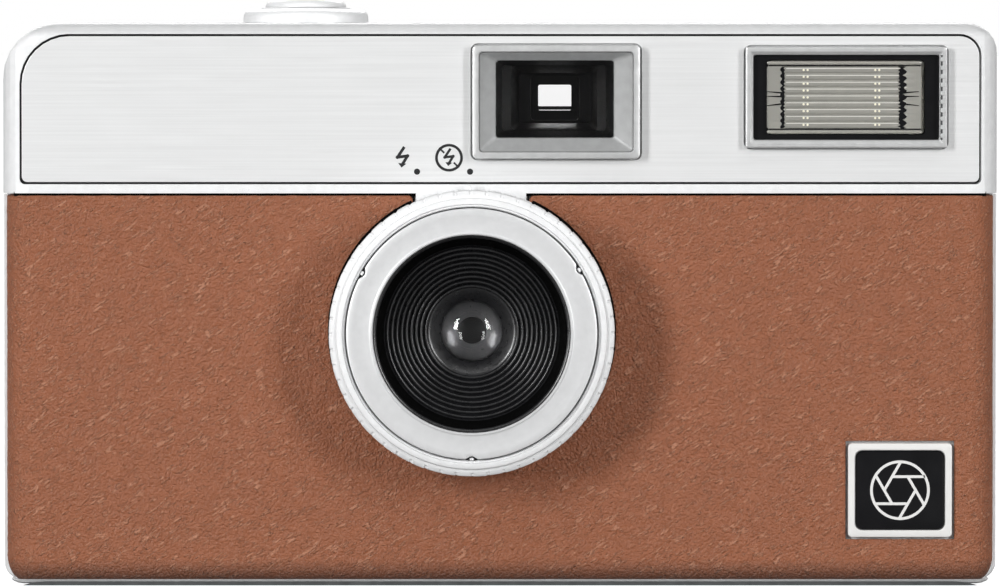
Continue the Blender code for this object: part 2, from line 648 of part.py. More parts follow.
def lens_ring():
    """The flash switch: a raised grip round a stepped front."""
    axis = (LENS_X, 0, LENS_Z)
    inner = BARREL_RADIUS + 0.4
    front = -RING_FRONT
    back = -RING_BACK
    profile = [
        (14.2, front),
        (14.6, front - 0.1),
        (15.0, front - 0.6),
        (15.3, front - 1.1),
        (15.3, back),
        (inner, back),
        (inner, front - 0.1),
    ]
    ring = turned("flash_switch_ring", profile, SILVER, axis, FORWARD, 42)
    grip_low, grip_high = back + 0.6, front - 1.6
    teeth = ring_outline(KNURLS, 15.0, RING_RADIUS, 0.43)
    grip = slab("ring_grip", [teeth, arc((0, 0), 14.6, 0, 350, 35)], grip_low, grip_high, None, FORWARD)
    grip.location = Vector(axis) * MM
    join(ring, grip)
    front, back, outer = -TRIM_FRONT, -TRIM_BACK, BARREL_RADIUS + 0.2
    profile = [
        (outer - 0.3, front),
        (outer, front - 0.3),
        (outer, back),
        (CONE_MOUTH, back),
        (CONE_MOUTH, front - 0.1),
        (CONE_MOUTH + 0.15, front),
    ]
    turned("lens_trim_ring", profile, SILVER, axis, FORWARD)


def lens_barrel():
    axis = (LENS_X, 0, LENS_Z)
    turned(
        "lens_barrel",
        [(BARREL_RADIUS, 18.4), (BARREL_RADIUS, 9.9), (11.6, 9.9), (11.6, 18.4)],
        BLACK,
        axis,
        FORWARD,
    )
    first, last = 9.6, 4.83
    top, bottom = 18.0, 12.6
    outer = [(11.3, 18.4), (11.3, 16.8), (5.8, 10.4), (4.6, 9.4)]
    inner = [(GLASS_RADIUS + 0.4, 9.4), (GLASS_RADIUS + 0.4, 11.2)]
    stairs = []
    for step in range(CONE_STEPS + 1):
        radius = last + (first - last) * step / CONE_STEPS
        height = bottom + (top - bottom) * step / CONE_STEPS
        if stairs:
            stairs.append((radius, stairs[-1][1]))
        stairs.append((radius, height))
    mouth = [(CONE_MOUTH - 0.1, 18.3)]
    turned("lens_cone", outer + inner + stairs + mouth, BLACK, axis, FORWARD, 28)


def glass(name, radius, front, back, bulge, axis):
    """A lens with a domed front and a flat back."""
    dome = []
    for step in range(6):
        angle = math.radians(90 - 15 * step)
        dome.append((radius * math.cos(angle), front - bulge + bulge * math.sin(angle)))
    profile = [*dome, (radius, front - bulge), (radius, back), (0, back)]
    turned(name, profile, CLEAR, axis, FORWARD, 24, False)


def optics():
    axis = (LENS_X, 0, LENS_Z)
    glass("front_element", GLASS_RADIUS, 10.9, 9.5, 0.8, axis)
    turned(
        "aperture_plate",
        [(4.6, 8.7), (4.6, 8.4), (APERTURE_RADIUS, 8.4), (APERTURE_RADIUS, 8.7)],
        BLACK,
        axis,
        FORWARD,
        32,
    )
    blade = [(LENS_X + x, LENS_Z + z) for x, z in ((-3.2, -2.6), (2.6, -3.2), (4.2, 1.0), (9.0, 6.0))]
    blade += arc((BLADE_X, BLADE_Z), 1.6, 0, 120, 4)
    blade += [(LENS_X + 1.5, LENS_Z + 3.6), (LENS_X - 3.0, LENS_Z + 2.4)]
    pivot_hole = arc((BLADE_X, BLADE_Z), PIVOT_HOLE, 0, 330, 11)
    blade = upright_slab("shutter_blade", [blade, pivot_hole], -7.9, -7.6, STEEL)
    pivoted(blade, (BLADE_X, 0, BLADE_Z))
    corner = (LENS_X - 12.6, LENS_Z - 12)
    outline = round_box(corner, (LENS_X + 12.6, LENS_Z + 13), [1.5] * 4)
    light_hole = arc((LENS_X, LENS_Z), 3.4, 0, 345, 23)
    plate = upright_slab("shutter_plate", [outline, light_hole], -6.9, -5.9, BLACK)
    join(plate, rod("shutter_post", (BLADE_X, 0, BLADE_Z), 0.4, 6.4, 8.2, turn=FORWARD, sides=16))
    turned(
        "rear_element_holder",
        [(5.4, 5.6), (5.4, 3.2), (3.3, 3.2), (3.3, 5.6)],
        BLACK,
        axis,
        FORWARD,
        32,
    )
    glass("rear_element", 3.0, 5.3, 3.6, 0.5, axis)


def coil(name, centre, radius, wire, low, high, turns, finish):
    """A coil spring along Z, with a resting height from low to high."""
    curve = bpy.data.curves.new(name, "CURVE")
    curve.dimensions = "3D"
    curve.bevel_depth = wire * MM
    curve.bevel_resolution = 1
    curve.use_fill_caps = True
    spline = curve.splines.new("POLY")
    steps = int(turns * 12)
    spline.points.add(steps)
    for step, point in enumerate(spline.points):
        angle = math.tau * turns * step / steps
        height = low + wire + (high - low - 2 * wire) * step / steps
        point.co = (radius * math.cos(angle) * MM, radius * math.sin(angle) * MM, height * MM, 1)
    curve.materials.append(material(finish))
    obj = bpy.data.objects.new(name, curve)
    obj.location = Vector(centre) * MM
    PARTS.objects.link(obj)


def shutter_release():
    centre = (BUTTON_X, BUTTON_Y, 0)
    seat = BODY_HEIGHT + 0.2
    bore = BUTTON_RADIUS + 0.4
    profile = [
        (COLLAR_RADIUS - 0.5, COLLAR_TOP),
        (COLLAR_RADIUS, COLLAR_TOP - 0.4),
        (COLLAR_RADIUS, seat),
        (bore, seat),
        (bore, COLLAR_TOP),
    ]
    turned("button_collar", profile, SILVER, centre)
    turned(
        "shutter_button",
        [
            (0, BUTTON_TOP),
            (2.2, BUTTON_TOP - 0.1),
            (3.6, BUTTON_TOP - 0.3),
            (BUTTON_RADIUS - 0.15, BUTTON_TOP - 0.6),
            (BUTTON_RADIUS, BUTTON_TOP - 1.0),
            (BUTTON_RADIUS, 64.0),
            (STEM_RADIUS, 64.0),
            (STEM_RADIUS, 53.4),
            (0, 53.4),
        ],
        SILVER,
        centre,
        closed=False,
    )
    coil("button_spring", centre, 3.4, 0.2, 62.1, 63.8, 3, STEEL)
    outline = [(-23.6, 51.4), (-11.4, 49.4), (-9.4, 43.4), (-8.4, 43.4)]
    outline += [(-10.2, 51.6), (-14.2, 52.6), (-23.6, 52.9)]
    pivot_hole = arc((LEVER_X, LEVER_Z), PIVOT_HOLE, 0, 330, 11)
    lever = upright_slab("release_lever", [outline, pivot_hole], 3.4, 4.8, BRASS)
    pivoted(lever, (LEVER_X, BUTTON_Y, LEVER_Z))


# ---------------------------------------------------------------- viewfinder


def viewfinder():
    middle = (FINDER_X, FINDER_Z)
    outer = centred(middle, FINDER_SIZE, 0.7)
    bezel = upright_slab("viewfinder_bezel", [outer], -11.7, PLATE_POCKET - 0.15, SILVER)
    opening = upright_slab("finder_opening", [centred(middle, FINDER_OPENING, 0.5)], -14, -5)
    slopes = funnel("finder_funnel", middle, FINDER_OPENING, FINDER_MOUTH, -9.8, -12.8)
    cut(bezel, opening, slopes)
    upright_slab("viewfinder_front_lens", [centred(middle, (14.2, 9.8), 0.4)], -8.4, -7.4, CLEAR)
    raised = (FINDER_X, FINDER_Z + 0.3)
    walls = [centred(raised, (15.4, 10.4), 0.6), centred(raised, (13.8, 8.8), 0.4)]
    upright_slab("viewfinder_tunnel", walls, -7.1, 14.6, BLACK)
    eye = (FINDER_X, 54.6)
    upright_slab("eyepiece_lens", [centred(eye, (10.2, 5.4), 0.5)], 14.9, 16.0, CLEAR)
    rim = [centred(eye, (9.0, 5.0), 0.8), centred(eye, (7.4, 3.6), 0.6)]
    upright_slab("eyepiece_frame", rim, 16.3, 19.1, BLACK)


# ---------------------------------------------------------------- flash and power


def flash():
    middle = (FLASH_X, FLASH_Z)
    frame = [centred(middle, FLASH_SIZE, 0.7), centred(middle, FLASH_OPENING, 0.4)]
    upright_slab("flash_frame", frame, -11.5, PLATE_POCKET - 0.15, SILVER)
    window = upright_slab("flash_lens", [centred(middle, (19.3, 8.4), 0.3)], -11.1, -9.5, DIFFUSER)
    for rib in range(9):
        height = FLASH_Z - 3.6 + rib * 0.9
        low = (FLASH_X - 12, -12, height - 0.2)
        cut(window, block(f"flash_groove_{rib}", low, (FLASH_X + 12, -10.9, height + 0.2)))
    reflector = block("flash_reflector", (28.6, -8.4, 52.4), (47.8, -2.4, 59.2), CHROME)
    cut(reflector, rod("flash_trough", (FLASH_X, -8.6, FLASH_TUBE_Z), 3.0, -9, 9, turn=SIDEWAYS))
    rod("flash_tube", (FLASH_X, -7.6, FLASH_TUBE_Z), 1.2, -8.4, 8.4, CLEAR, SIDEWAYS, 16)
    rod("flash_capacitor", (16.4, -2.8, 0), 4.2, 10, 40, BLACK, sides=24)
    block("flash_board", (18.6, 2.0, 52.6), (47, 3.2, 60.0), GREEN)
    block("flash_transformer", (24, 4.0, 53), (33, 11.6, 59.4), BRASS, 0.4)
    rod("ready_lamp", (LAMP_X, 0, LAMP_Z), 1.5, -19.0, -14.5, AMBER, FORWARD, 24)


def battery_parts():
    section = arc((BATTERY_HINGE_Y, BATTERY_HINGE_Z), 0.6, 270, 450, 8)
    section += [(-7.9, 1.35), (-7.9, 0.15)]
    door = slab("battery_door", [section], -30.1, -14.7, SILVER, SIDEWAYS)
    pivoted(door, (BATTERY_X, BATTERY_HINGE_Y, BATTERY_HINGE_Z))
    for rib in range(3):
        y = -6.8 + rib
        cut(door, block(f"battery_groove_{rib}", (-26, y, -1), (-19, y + 0.5, 0.35)))
    rod("battery_contact_top", (BATTERY_X, BATTERY_Y, 0), 3.5, 47.2, 47.9, BRASS, sides=24)
    turned(
        "battery_contact_spring",
        [(1.4, 4.4), (3.6, 1.7), (3.0, 1.7), (0.9, 4.4)],
        BRASS,
        (BATTERY_X, BATTERY_Y, 0),
        steps=20,
    )


clear_scene()
PARTS = collection("half_frame_camera")
CUTTERS = collection("cutters")
front_cover()
top_cover()
face_plate()
front_leather()
badge()
main_chassis()
back_door()
pressure()
door_latch()
strap_bar()
screws()
advance()
film_sprocket()
counter()
rewind()
lens_ring()
lens_barrel()
optics()
shutter_release()
viewfinder()
flash()
battery_parts()
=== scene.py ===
"""Looks of a compact half frame camera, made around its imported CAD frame.

Lengths are millimetres, and MM turns them into the metres that Blender and the frame use. +Z is up, and the
lens looks along -Y. Places come from the CAD nodes' boxes, and detail is given from them.
"""

import json
import math

import bmesh
import bpy
from mathutils import Matrix, Vector, noise


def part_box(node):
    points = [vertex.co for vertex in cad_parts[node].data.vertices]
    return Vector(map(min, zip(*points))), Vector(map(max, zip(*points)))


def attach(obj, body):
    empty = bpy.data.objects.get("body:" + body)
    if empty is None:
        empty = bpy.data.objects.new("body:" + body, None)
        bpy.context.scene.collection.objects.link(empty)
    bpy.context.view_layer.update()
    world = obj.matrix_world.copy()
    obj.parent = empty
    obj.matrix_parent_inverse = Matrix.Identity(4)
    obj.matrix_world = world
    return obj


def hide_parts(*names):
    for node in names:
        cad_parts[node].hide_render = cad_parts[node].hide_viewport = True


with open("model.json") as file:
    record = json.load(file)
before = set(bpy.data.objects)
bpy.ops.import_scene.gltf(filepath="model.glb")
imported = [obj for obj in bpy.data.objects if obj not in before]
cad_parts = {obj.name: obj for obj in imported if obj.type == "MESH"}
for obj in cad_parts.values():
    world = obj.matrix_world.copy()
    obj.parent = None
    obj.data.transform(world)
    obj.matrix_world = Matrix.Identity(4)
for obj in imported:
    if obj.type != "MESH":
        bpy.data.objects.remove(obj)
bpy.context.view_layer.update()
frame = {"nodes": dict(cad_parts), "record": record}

MM = 0.001
ROOT = "camera"
BODY_OF = {node: body for body, nodes in frame["record"]["behaviour"]["bodies"].items() for node in nodes}
SLOT_OF = {part["node"]: part["material_slot"] for part in frame["record"]["subparts"]}


# ---------------------------------------------------------------- places


def box(node):
    """A CAD node's lowest and highest corners, in millimetres."""
    low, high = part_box(node)
    return low / MM, high / MM


def middle(node):
    low, high = box(node)
    return (low + high) / 2


def depths(node):
    """How far a CAD node's front and back lie ahead of Y = 0, in millimetres."""
    low, high = box(node)
    return -low.y, -high.y


def outlined(node):
    """A CAD node's corners, and the centre and size of its outline in X and Z."""
    low, high = box(node)
    centre = ((low.x + high.x) / 2, (low.z + high.z) / 2)
    return low, high, centre, (high.x - low.x, high.z - low.z)


def grown(size, amount, upward=1.0):
    """A size made larger, by a share of the amount in height."""
    return (size[0] + amount, size[1] + amount * upward)


LENS = middle("lens_barrel")
BODY_LOW, BODY_HIGH = box("front_cover")
TOP_LOW, TOP_HIGH = box("top_cover")
FRONT = TOP_LOW.y
PLATE_LOW, PLATE_HIGH = box("face_plate")


# ---------------------------------------------------------------- materials


def surface(name, colour, roughness, metallic=0.0, **settings):
    """A Principled material. Settings name the shader's sockets, with _ for a space."""
    made = bpy.data.materials.new(name)
    made.use_nodes = True
    shader = made.node_tree.nodes["Principled BSDF"]
    shader.inputs["Base Color"].default_value = (*colour, 1.0)
    shader.inputs["Roughness"].default_value = roughness
    shader.inputs["Metallic"].default_value = metallic
    for socket, value in settings.items():
        shader.inputs[socket.replace("_", " ")].default_value = value
    return made


def shader_of(made):
    return made.node_tree.nodes["Principled BSDF"]


def add(made, kind, **values):
    """A new node, with its sockets set by name."""
    node = made.node_tree.nodes.new("ShaderNode" + kind)
    for socket, value in values.items():
        node.inputs[socket].default_value = value
    return node


def wire(made, output, target):
    made.node_tree.links.new(output, target)


def pattern(made, size, detail=3.0, stretch=(1, 1, 1), turn=(0.0, 0.0, 0.0)):
    """Noise whose features are about size millimetres, longer where stretch is larger."""
    place = add(made, "TexCoord")
    fit = add(made, "Mapping", Rotation=turn, Scale=[size * MM * factor for factor in stretch])
    fit.vector_type = "TEXTURE"
    texture = add(made, "TexNoise", Scale=1.0, Detail=detail)
    wire(made, place.outputs["Object"], fit.inputs["Vector"])
    wire(made, fit.outputs["Vector"], texture.inputs["Vector"])
    return texture.outputs[0]


def rescaled(made, height, low, high, start=0.0, end=1.0):
    """The pattern from low to high becomes start to end, and is held beyond them."""
    scale = add(made, "MapRange")
    for socket, value in (("From Min", low), ("From Max", high), ("To Min", start), ("To Max", end)):
        scale.inputs[socket].default_value = value
    wire(made, height, scale.inputs["Value"])
    return scale.outputs["Result"]


def combined(made, operation, first, second):
    """Two patterns, or a pattern and a number, put together by a sum or the like."""
    maths = add(made, "Math")
    maths.operation = operation
    wire(made, first, maths.inputs[0])
    if isinstance(second, float):
        maths.inputs[1].default_value = second
    else:
        wire(made, second, maths.inputs[1])
    return maths.outputs[0]


def ridged(made, size, stretch, turn):
    """Thin broken ridges, as where leather folds."""
    field = pattern(made, size, 1.5, stretch, turn)
    distance = combined(made, "ABSOLUTE", combined(made, "SUBTRACT", field, 0.5), 0.0)
    lines = rescaled(made, distance, 0.0, 0.05, 1.0, 0.0)
    patches = rescaled(made, pattern(made, size * 1.3, 2.0), 0.46, 0.56)
    return combined(made, "MULTIPLY", lines, patches)


def strokes(made, size, reach, turn):
    """Short raised strokes that all lean one way, in loose patches."""
    raised = rescaled(made, pattern(made, size, 2.0, (reach, 1, 1), turn), 0.53, 0.6)
    patches = rescaled(made, pattern(made, size * 6, 2.0), 0.42, 0.56)
    return combined(made, "MULTIPLY", raised, patches)


def vary_colour(made, height, dark, light, low=0.35, high=0.65):
    """The base colour runs from dark to light as the pattern rises from low to high."""
    ramp = add(made, "ValToRGB")
    ramp.color_ramp.elements[0].position = low
    ramp.color_ramp.elements[0].color = (*dark, 1.0)
    ramp.color_ramp.elements[1].position = high
    ramp.color_ramp.elements[1].color = (*light, 1.0)
    wire(made, height, ramp.inputs["Fac"])
    wire(made, ramp.outputs["Color"], shader_of(made).inputs["Base Color"])


def lighten(made, height, colour, low, high, share):
    """Mixes a colour into the base colour where the pattern is high."""
    base = shader_of(made).inputs["Base Color"]
    mix = add(made, "MixRGB")
    mix.inputs["Color2"].default_value = (*colour, 1.0)
    wire(made, rescaled(made, height, low, high, 0.0, share), mix.inputs["Fac"])
    wire(made, base.links[0].from_socket, mix.inputs["Color1"])
    wire(made, mix.outputs["Color"], base)


def shade_by_height(made, low, high, below, above):
    """Painted shade by height: the base colour is scaled by one factor below a height and by another above a
    second height.
    """
    place = add(made, "TexCoord")
    split = add(made, "SeparateXYZ")
    wire(made, place.outputs["Object"], split.inputs["Vector"])
    height = rescaled(made, split.outputs["Z"], low * MM, high * MM, below, above)
    base = shader_of(made).inputs["Base Color"]
    mix = add(made, "VectorMath")
    mix.operation = "SCALE"
    wire(made, base.links[0].from_socket, mix.inputs[0])
    wire(made, height, mix.inputs["Scale"])
    wire(made, mix.outputs[0], base)


def vary_roughness(made, height, low, high):
    wire(made, rescaled(made, height, 0.3, 0.7, low, high), shader_of(made).inputs["Roughness"])


def emboss(made, height, depth):
    """Bump of about depth millimetres. A second call adds to the first."""
    bump = add(made, "Bump", Strength=1.0, Distance=depth * MM)
    wire(made, height, bump.inputs["Height"])
    normal = shader_of(made).inputs["Normal"]
    if normal.links:
        wire(made, normal.links[0].from_socket, bump.inputs["Normal"])
    wire(made, bump.outputs["Normal"], normal)


def shade(colour, factor):
    return tuple(value * factor for value in colour)


def plain_finish(name, colour, roughness, metallic, size, depth, spread, specular=0.5):
    """A moulded, painted or metal surface: fine grain, slight mottling and uneven gloss."""
    made = surface(name, colour, roughness, metallic, Specular_IOR_Level=specular)
    vary_colour(made, pattern(made, size * 9, 4.0), shade(colour, 1 - spread), shade(colour, 1 + spread))
    vary_roughness(made, pattern(made, size * 4), roughness * 0.82, roughness * 1.2)
    emboss(made, pattern(made, size), depth)
    return made


def brushed_finish():
    """Aluminium brushed along X."""
    colour = (0.86, 0.865, 0.865)
    made = surface("brushed_aluminium", colour, 0.36, 0.35)
    lines = pattern(made, 0.05, 2.0, (160, 1, 1))
    wide = pattern(made, 0.22, 2.0, (120, 1, 1))
    vary_colour(made, wide, shade(colour, 0.965), shade(colour, 1.02))
    vary_roughness(made, lines, 0.28, 0.46)
    emboss(made, lines, 0.0035)
    return made


def leather_finish():
    """Brown leatherette: pebbles and short slanting creases under a soft sheen. Painted highlights lighten
    the raised creases and folds, and painted shade darkens the brown towards the bottom edge.
    """
    brown = (0.285, 0.091, 0.036)
    made = surface("brown_leatherette", brown, 0.5, Sheen_Weight=0.05, Specular_IOR_Level=0.5)
    creases = strokes(made, 0.2, 5.5, (0.0, math.radians(-34), 0.0))
    folds = ridged(made, 0.7, (1.0, 1, 2.2), (0.0, math.radians(-8), 0.0))
    pebbles = pattern(made, 0.26, 2.0)
    tone = pattern(made, 2.2, 6.0)
    vary_colour(made, tone, shade(brown, 0.95), shade(brown, 1.05), 0.3, 0.7)
    # Painted highlights: the raised creases and folds are mixed towards a lighter brown, as where light
    # catches their tops.
    lighten(made, creases, (0.52, 0.24, 0.14), 0.1, 1.0, 0.55)
    lighten(made, folds, (0.46, 0.20, 0.11), 0.2, 1.0, 0.2)
    # Painted shade: the brown darkens towards the bottom edge, where the leather rolls under the body.
    shade_by_height(made, BODY_LOW.z + 0.5, BODY_LOW.z + 2.8, 0.26, 1.0)
    vary_roughness(made, pebbles, 0.34, 0.6)
    emboss(made, creases, 0.11)
    emboss(made, folds, 0.03)
    emboss(made, pebbles, 0.28)
    return made


def clear_finish(name, tint, roughness, ior, transmission, specular):
    """Glass or clear plastic, with slightly uneven gloss."""
    made = surface(name, tint, roughness, IOR=ior, Transmission_Weight=transmission,
                   Specular_IOR_Level=specular)
    vary_roughness(made, pattern(made, 2.5), roughness * 0.6, roughness * 1.6)
    return made


def board_finish():
    """Green circuit board with paler copper lanes under the lacquer."""
    green = (0.02, 0.16, 0.07)
    made = surface("circuit_board", green, 0.4, Coat_Weight=0.3)
    lanes = pattern(made, 1.1, 0.0, (5, 1, 1))
    vary_colour(made, lanes, green, (0.05, 0.30, 0.12), 0.48, 0.52)
    emboss(made, lanes, 0.02)
    return made


# Colour, roughness, metallic value, grain size and depth in millimetres, mottling and any specular level.
PLAIN = {
    "silver_paint": ((0.80, 0.805, 0.81), 0.5, 0.12, 0.11, 0.05, 0.025),
    "top_paint_painted_shade": ((0.80, 0.805, 0.81), 0.5, 0.12, 0.11, 0.06, 0.025),
    "button_paint": ((0.84, 0.845, 0.85), 0.42, 0.2, 0.1, 0.004, 0.02),
    "painted_shade_edge": ((0.07, 0.074, 0.075), 0.5, 0.2, 0.2, 0.006, 0.15),
    "satin_silver": ((0.70, 0.705, 0.71), 0.4, 0.25, 0.1, 0.003, 0.02),
    "silver_moulding": ((0.62, 0.625, 0.625), 0.38, 0.45, 0.12, 0.012, 0.05),
    "slope_painted_shade": ((0.36, 0.365, 0.365), 0.42, 0.35, 0.12, 0.014, 0.06),
    "chrome": ((0.86, 0.86, 0.87), 0.14, 1.0, 0.4, 0.001, 0.02),
    "spring_steel": ((0.56, 0.56, 0.57), 0.3, 1.0, 0.15, 0.004, 0.08),
    "brass": ((0.72, 0.50, 0.20), 0.3, 1.0, 0.2, 0.004, 0.08),
    "dark_metal": ((0.10, 0.10, 0.105), 0.32, 0.5, 0.1, 0.003, 0.1),
    "trough_metal": ((0.80, 0.79, 0.74), 0.3, 0.3, 0.3, 0.004, 0.04),
    "painted_reflection_dots": ((0.86, 0.82, 0.66), 0.12, 0.0, 0.1, 0.002, 0.02),
    "rib_glint": ((0.70, 0.69, 0.64), 0.2, 0.0, 0.1, 0.002, 0.02),
    "black_moulding": ((0.010, 0.010, 0.011), 0.42, 0.0, 0.12, 0.008, 0.2, 0.4),
    "gloss_black": ((0.006, 0.006, 0.007), 0.2, 0.0, 0.5, 0.002, 0.15, 0.35),
    "rib_black": ((0.008, 0.008, 0.009), 0.3, 0.0, 0.14, 0.006, 0.2, 0.8),
    # Painted shade: a lightless black for the shutter blade behind the aperture, the cone's mouth band and
    # the gaps round the leather.
    "painted_shade_black": ((0.002, 0.002, 0.002), 0.6, 0.0, 0.2, 0.004, 0.2, 0.05),
    "black_ink": ((0.006, 0.006, 0.007), 0.5, 0.0, 0.08, 0.002, 0.2),
    "white_enamel": ((0.76, 0.755, 0.74), 0.22, 0.0, 0.6, 0.001, 0.02),
    "white_plastic": ((0.84, 0.84, 0.82), 0.42, 0.0, 0.2, 0.004, 0.02),
    "seal_foam": ((0.015, 0.015, 0.016), 0.95, 0.0, 0.3, 0.08, 0.3),
}
# Tint, roughness, refractive index, transmission and specular level.
CLEAR = {
    "clear_plastic": ((0.99, 0.99, 0.99), 0.02, 1.49, 1.0, 0.5),
    "lens_glass": ((1.0, 1.0, 1.0), 0.01, 1.49, 1.0, 0.2),
    "flash_diffuser": ((0.62, 0.61, 0.56), 0.05, 1.49, 0.6, 0.5),
    "amber_lamp": ((0.95, 0.40, 0.06), 0.15, 1.49, 0.6, 0.5),
}
FINISHES = {name: plain_finish(name, *look) for name, look in PLAIN.items()}
FINISHES.update({name: clear_finish(name, *look) for name, look in CLEAR.items()})
FINISHES["brushed_aluminium"] = brushed_finish()
FINISHES["brown_leatherette"] = leather_finish()
FINISHES["circuit_board"] = board_finish()
# Painted shade: the top cover's paint darkens from the face plate's top edge upwards.
shade_by_height(FINISHES["top_paint_painted_shade"], PLATE_HIGH.z - 0.1, PLATE_HIGH.z + 0.6, 1.0, 0.74)


# ---------------------------------------------------------------- mesh tools


def placed(name, data):
    """A new object in the scene."""
    obj = bpy.data.objects.new(name, data)
    bpy.context.scene.collection.objects.link(obj)
    return obj


def mesh_of(name, shape):
    """A mesh from a shape, which is used up."""
    mesh = bpy.data.meshes.new(name)
    shape.to_mesh(mesh)
    shape.free()
    return mesh


def piece(name, shape, node=None, body=ROOT, slot=None, finish=None, crease=32):
    """A piece of the camera. It stands for a CAD node, or rides on a body with a slot of its own."""
    mesh = mesh_of(name, shape)
    slot = slot or SLOT_OF[node]
    mesh.materials.append(FINISHES[finish or slot])
    mesh.shade_smooth()
    mesh.set_sharp_from_angle(angle=math.radians(crease))
    obj = placed(name, mesh)
    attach(obj, BODY_OF[node] if node else body)
    if node:
        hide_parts(node)
    return obj


def bevelled(obj, width):
    """The piece with its sharper edges eased."""
    bevel = obj.modifiers.new("edges", "BEVEL")
    bevel.width = width * MM
    bevel.segments = 2
    bevel.limit_method = "ANGLE"
    bevel.angle_limit = math.radians(35)
    bevel.harden_normals = True
    return obj


def form_of(node):
    """A copy of the CAD node's form, with its faces joined."""
    shape = bmesh.new()
    shape.from_mesh(frame["nodes"][node].data)
    bmesh.ops.remove_doubles(shape, verts=shape.verts, dist=0.002 * MM)
    return shape


def refined(node, width, finish):
    """The CAD node's own form as whole faces, with its edges eased."""
    shape = form_of(node)
    bmesh.ops.dissolve_limit(shape, angle_limit=math.radians(0.6), verts=shape.verts, edges=shape.edges)
    obj = bevelled(piece(node + "_fine", shape, node, finish=finish), width)
    weigh = obj.modifiers.new("even_shading", "WEIGHTED_NORMAL")
    weigh.keep_sharp = True
    return obj


def rows_of(shape, loops):
    """The corners of a shape at the points of each loop."""
    return [[shape.verts.new(Vector(point) * MM) for point in loop] for loop in loops]


def bridge(shape, row, other, closed=True):
    """Faces between two rows of as many corners, all the way round or from end to end."""
    for index in range(len(row) if closed else len(row) - 1):
        following = (index + 1) % len(row)
        shape.faces.new((row[index], row[following], other[following], other[index]))


def lofted(loops, ring=False):
    """A skin through loops of as many points each. A ring joins the last to the first. Others are capped."""
    shape = bmesh.new()
    rows = rows_of(shape, loops)
    pairs = list(zip(rows, rows[1:]))
    if ring:
        pairs.append((rows[-1], rows[0]))
    for row, other in pairs:
        bridge(shape, row, other)
    if not ring:
        shape.faces.new(rows[0])
        shape.faces.new(rows[-1])
    bmesh.ops.remove_doubles(shape, verts=shape.verts, dist=0.001 * MM)
    bmesh.ops.recalc_face_normals(shape, faces=shape.faces)
    return shape


def arc(centre, radius, start, end, steps):
    """Points of a plane, round an arc in degrees."""
    points = []
    for step in range(steps + 1):
        angle = math.radians(start + (end - start) * step / steps)
        points.append((centre[0] + radius * math.cos(angle), centre[1] + radius * math.sin(angle)))
    return points


def circle(radius, steps):
    return arc((0, 0), radius, 0, 360 - 360 / steps, steps - 1)


def facing(points, y):
    """Plane points as a loop in X and Z at a depth y."""
    return [(x, y, z) for x, z in points]


def level(points, z):
    """Plane points as a level loop at a height z."""
    return [(x, y, z) for x, y in points]


def shifted(points, centre):
    return [(x + centre[0], y + centre[1]) for x, y in points]


def turned(points, degrees):
    """Plane points turned about the origin."""
    turn = Matrix.Rotation(math.radians(degrees), 2)
    return [tuple(turn @ Vector(point)) for point in points]


def rounded(centre, size, radius, steps=5):
    """A rectangle with round corners."""
    points = []
    for index, (along, up) in enumerate(((1, 1), (-1, 1), (-1, -1), (1, -1))):
        corner = (centre[0] + along * (size[0] / 2 - radius), centre[1] + up * (size[1] / 2 - radius))
        points += arc(corner, radius, 90 * index, 90 * index + 90, steps)
    return points


def disc(radius, centre, steps):
    """Plane points round a centre, where a radius of nothing is a very small one."""
    return shifted(circle(max(radius, 0.0001), steps), centre)


def round_lens(radius, angle, y):
    """A point round the lens axis, with the angle in radians."""
    return (LENS.x + radius * math.cos(angle), y, LENS.z + radius * math.sin(angle))


def about_lens(profile, steps=128, ring=True):
    """A turned form about the lens axis: (radius, distance forward of Y = 0)."""
    return lofted([facing(disc(r, (LENS.x, LENS.z), steps), -ahead) for r, ahead in profile], ring)


def about_upright(profile, centre, steps=96, ring=True):
    """A turned form about an upright axis: (radius, height)."""
    return lofted([level(disc(r, (centre.x, centre.y), steps), height) for r, height in profile], ring)


def loops_about(centre, size, steps, upward=1.0):
    """Loops for framed round one centre: (growth of the size, corner radius, y) for each."""
    return [(centre, grown(size, amount, upward), radius, y) for amount, radius, y in steps]


def framed(loops):
    """A frame of rounded rectangles: (centre, size, corner radius, y) for each loop, round its section."""
    return lofted([facing(rounded(centre, size, radius), y) for centre, size, radius, y in loops], True)


def sheet(outline, front, back):
    """A flat outline in X and Z with a front and a back."""
    return lofted([facing(outline, front), facing(outline, back)])


def merged(*shapes):
    """Several loose forms in one mesh."""
    whole = bmesh.new()
    for shape in shapes:
        part = mesh_of("part", shape)
        whole.from_mesh(part)
        bpy.data.meshes.remove(part)
    return whole


# ---------------------------------------------------------------- leather

PITCH = 0.25
GRAIN = 0.045
HIDE = 0.7
RIM = 0.12


def grain_height(along, up):
    """The leather's own relief: slanting creases over broad pebbles, softer towards the right."""
    slant = math.radians(38)
    warp = noise.noise(Vector((along * 0.3, up * 0.3, 5.0))) * 0.5
    run = along * math.cos(slant) + up * math.sin(slant)
    across = up * math.cos(slant) - along * math.sin(slant)
    crease = noise.noise(Vector((run * 0.8, across * 2.1 + warp, 0.0)))
    pebble = noise.noise(Vector((along * 1.5, up * 1.5, 9.0)))
    broad = noise.noise(Vector((along * 0.12, up * 0.12, 2.0)))
    softness = 0.75 - 0.25 * math.tanh(along / 30)
    return GRAIN * softness * (0.75 * crease + 0.45 * pebble) + 0.03 * broad


def stations(stops, pitch):
    """Places from the first stop to the last, which hold every stop and are about a pitch apart."""
    places = [stops[0]]
    for start, end in zip(stops, stops[1:]):
        count = max(1, round((end - start) / pitch))
        places += [start + (end - start) * step / count for step in range(1, count + 1)]
    return places


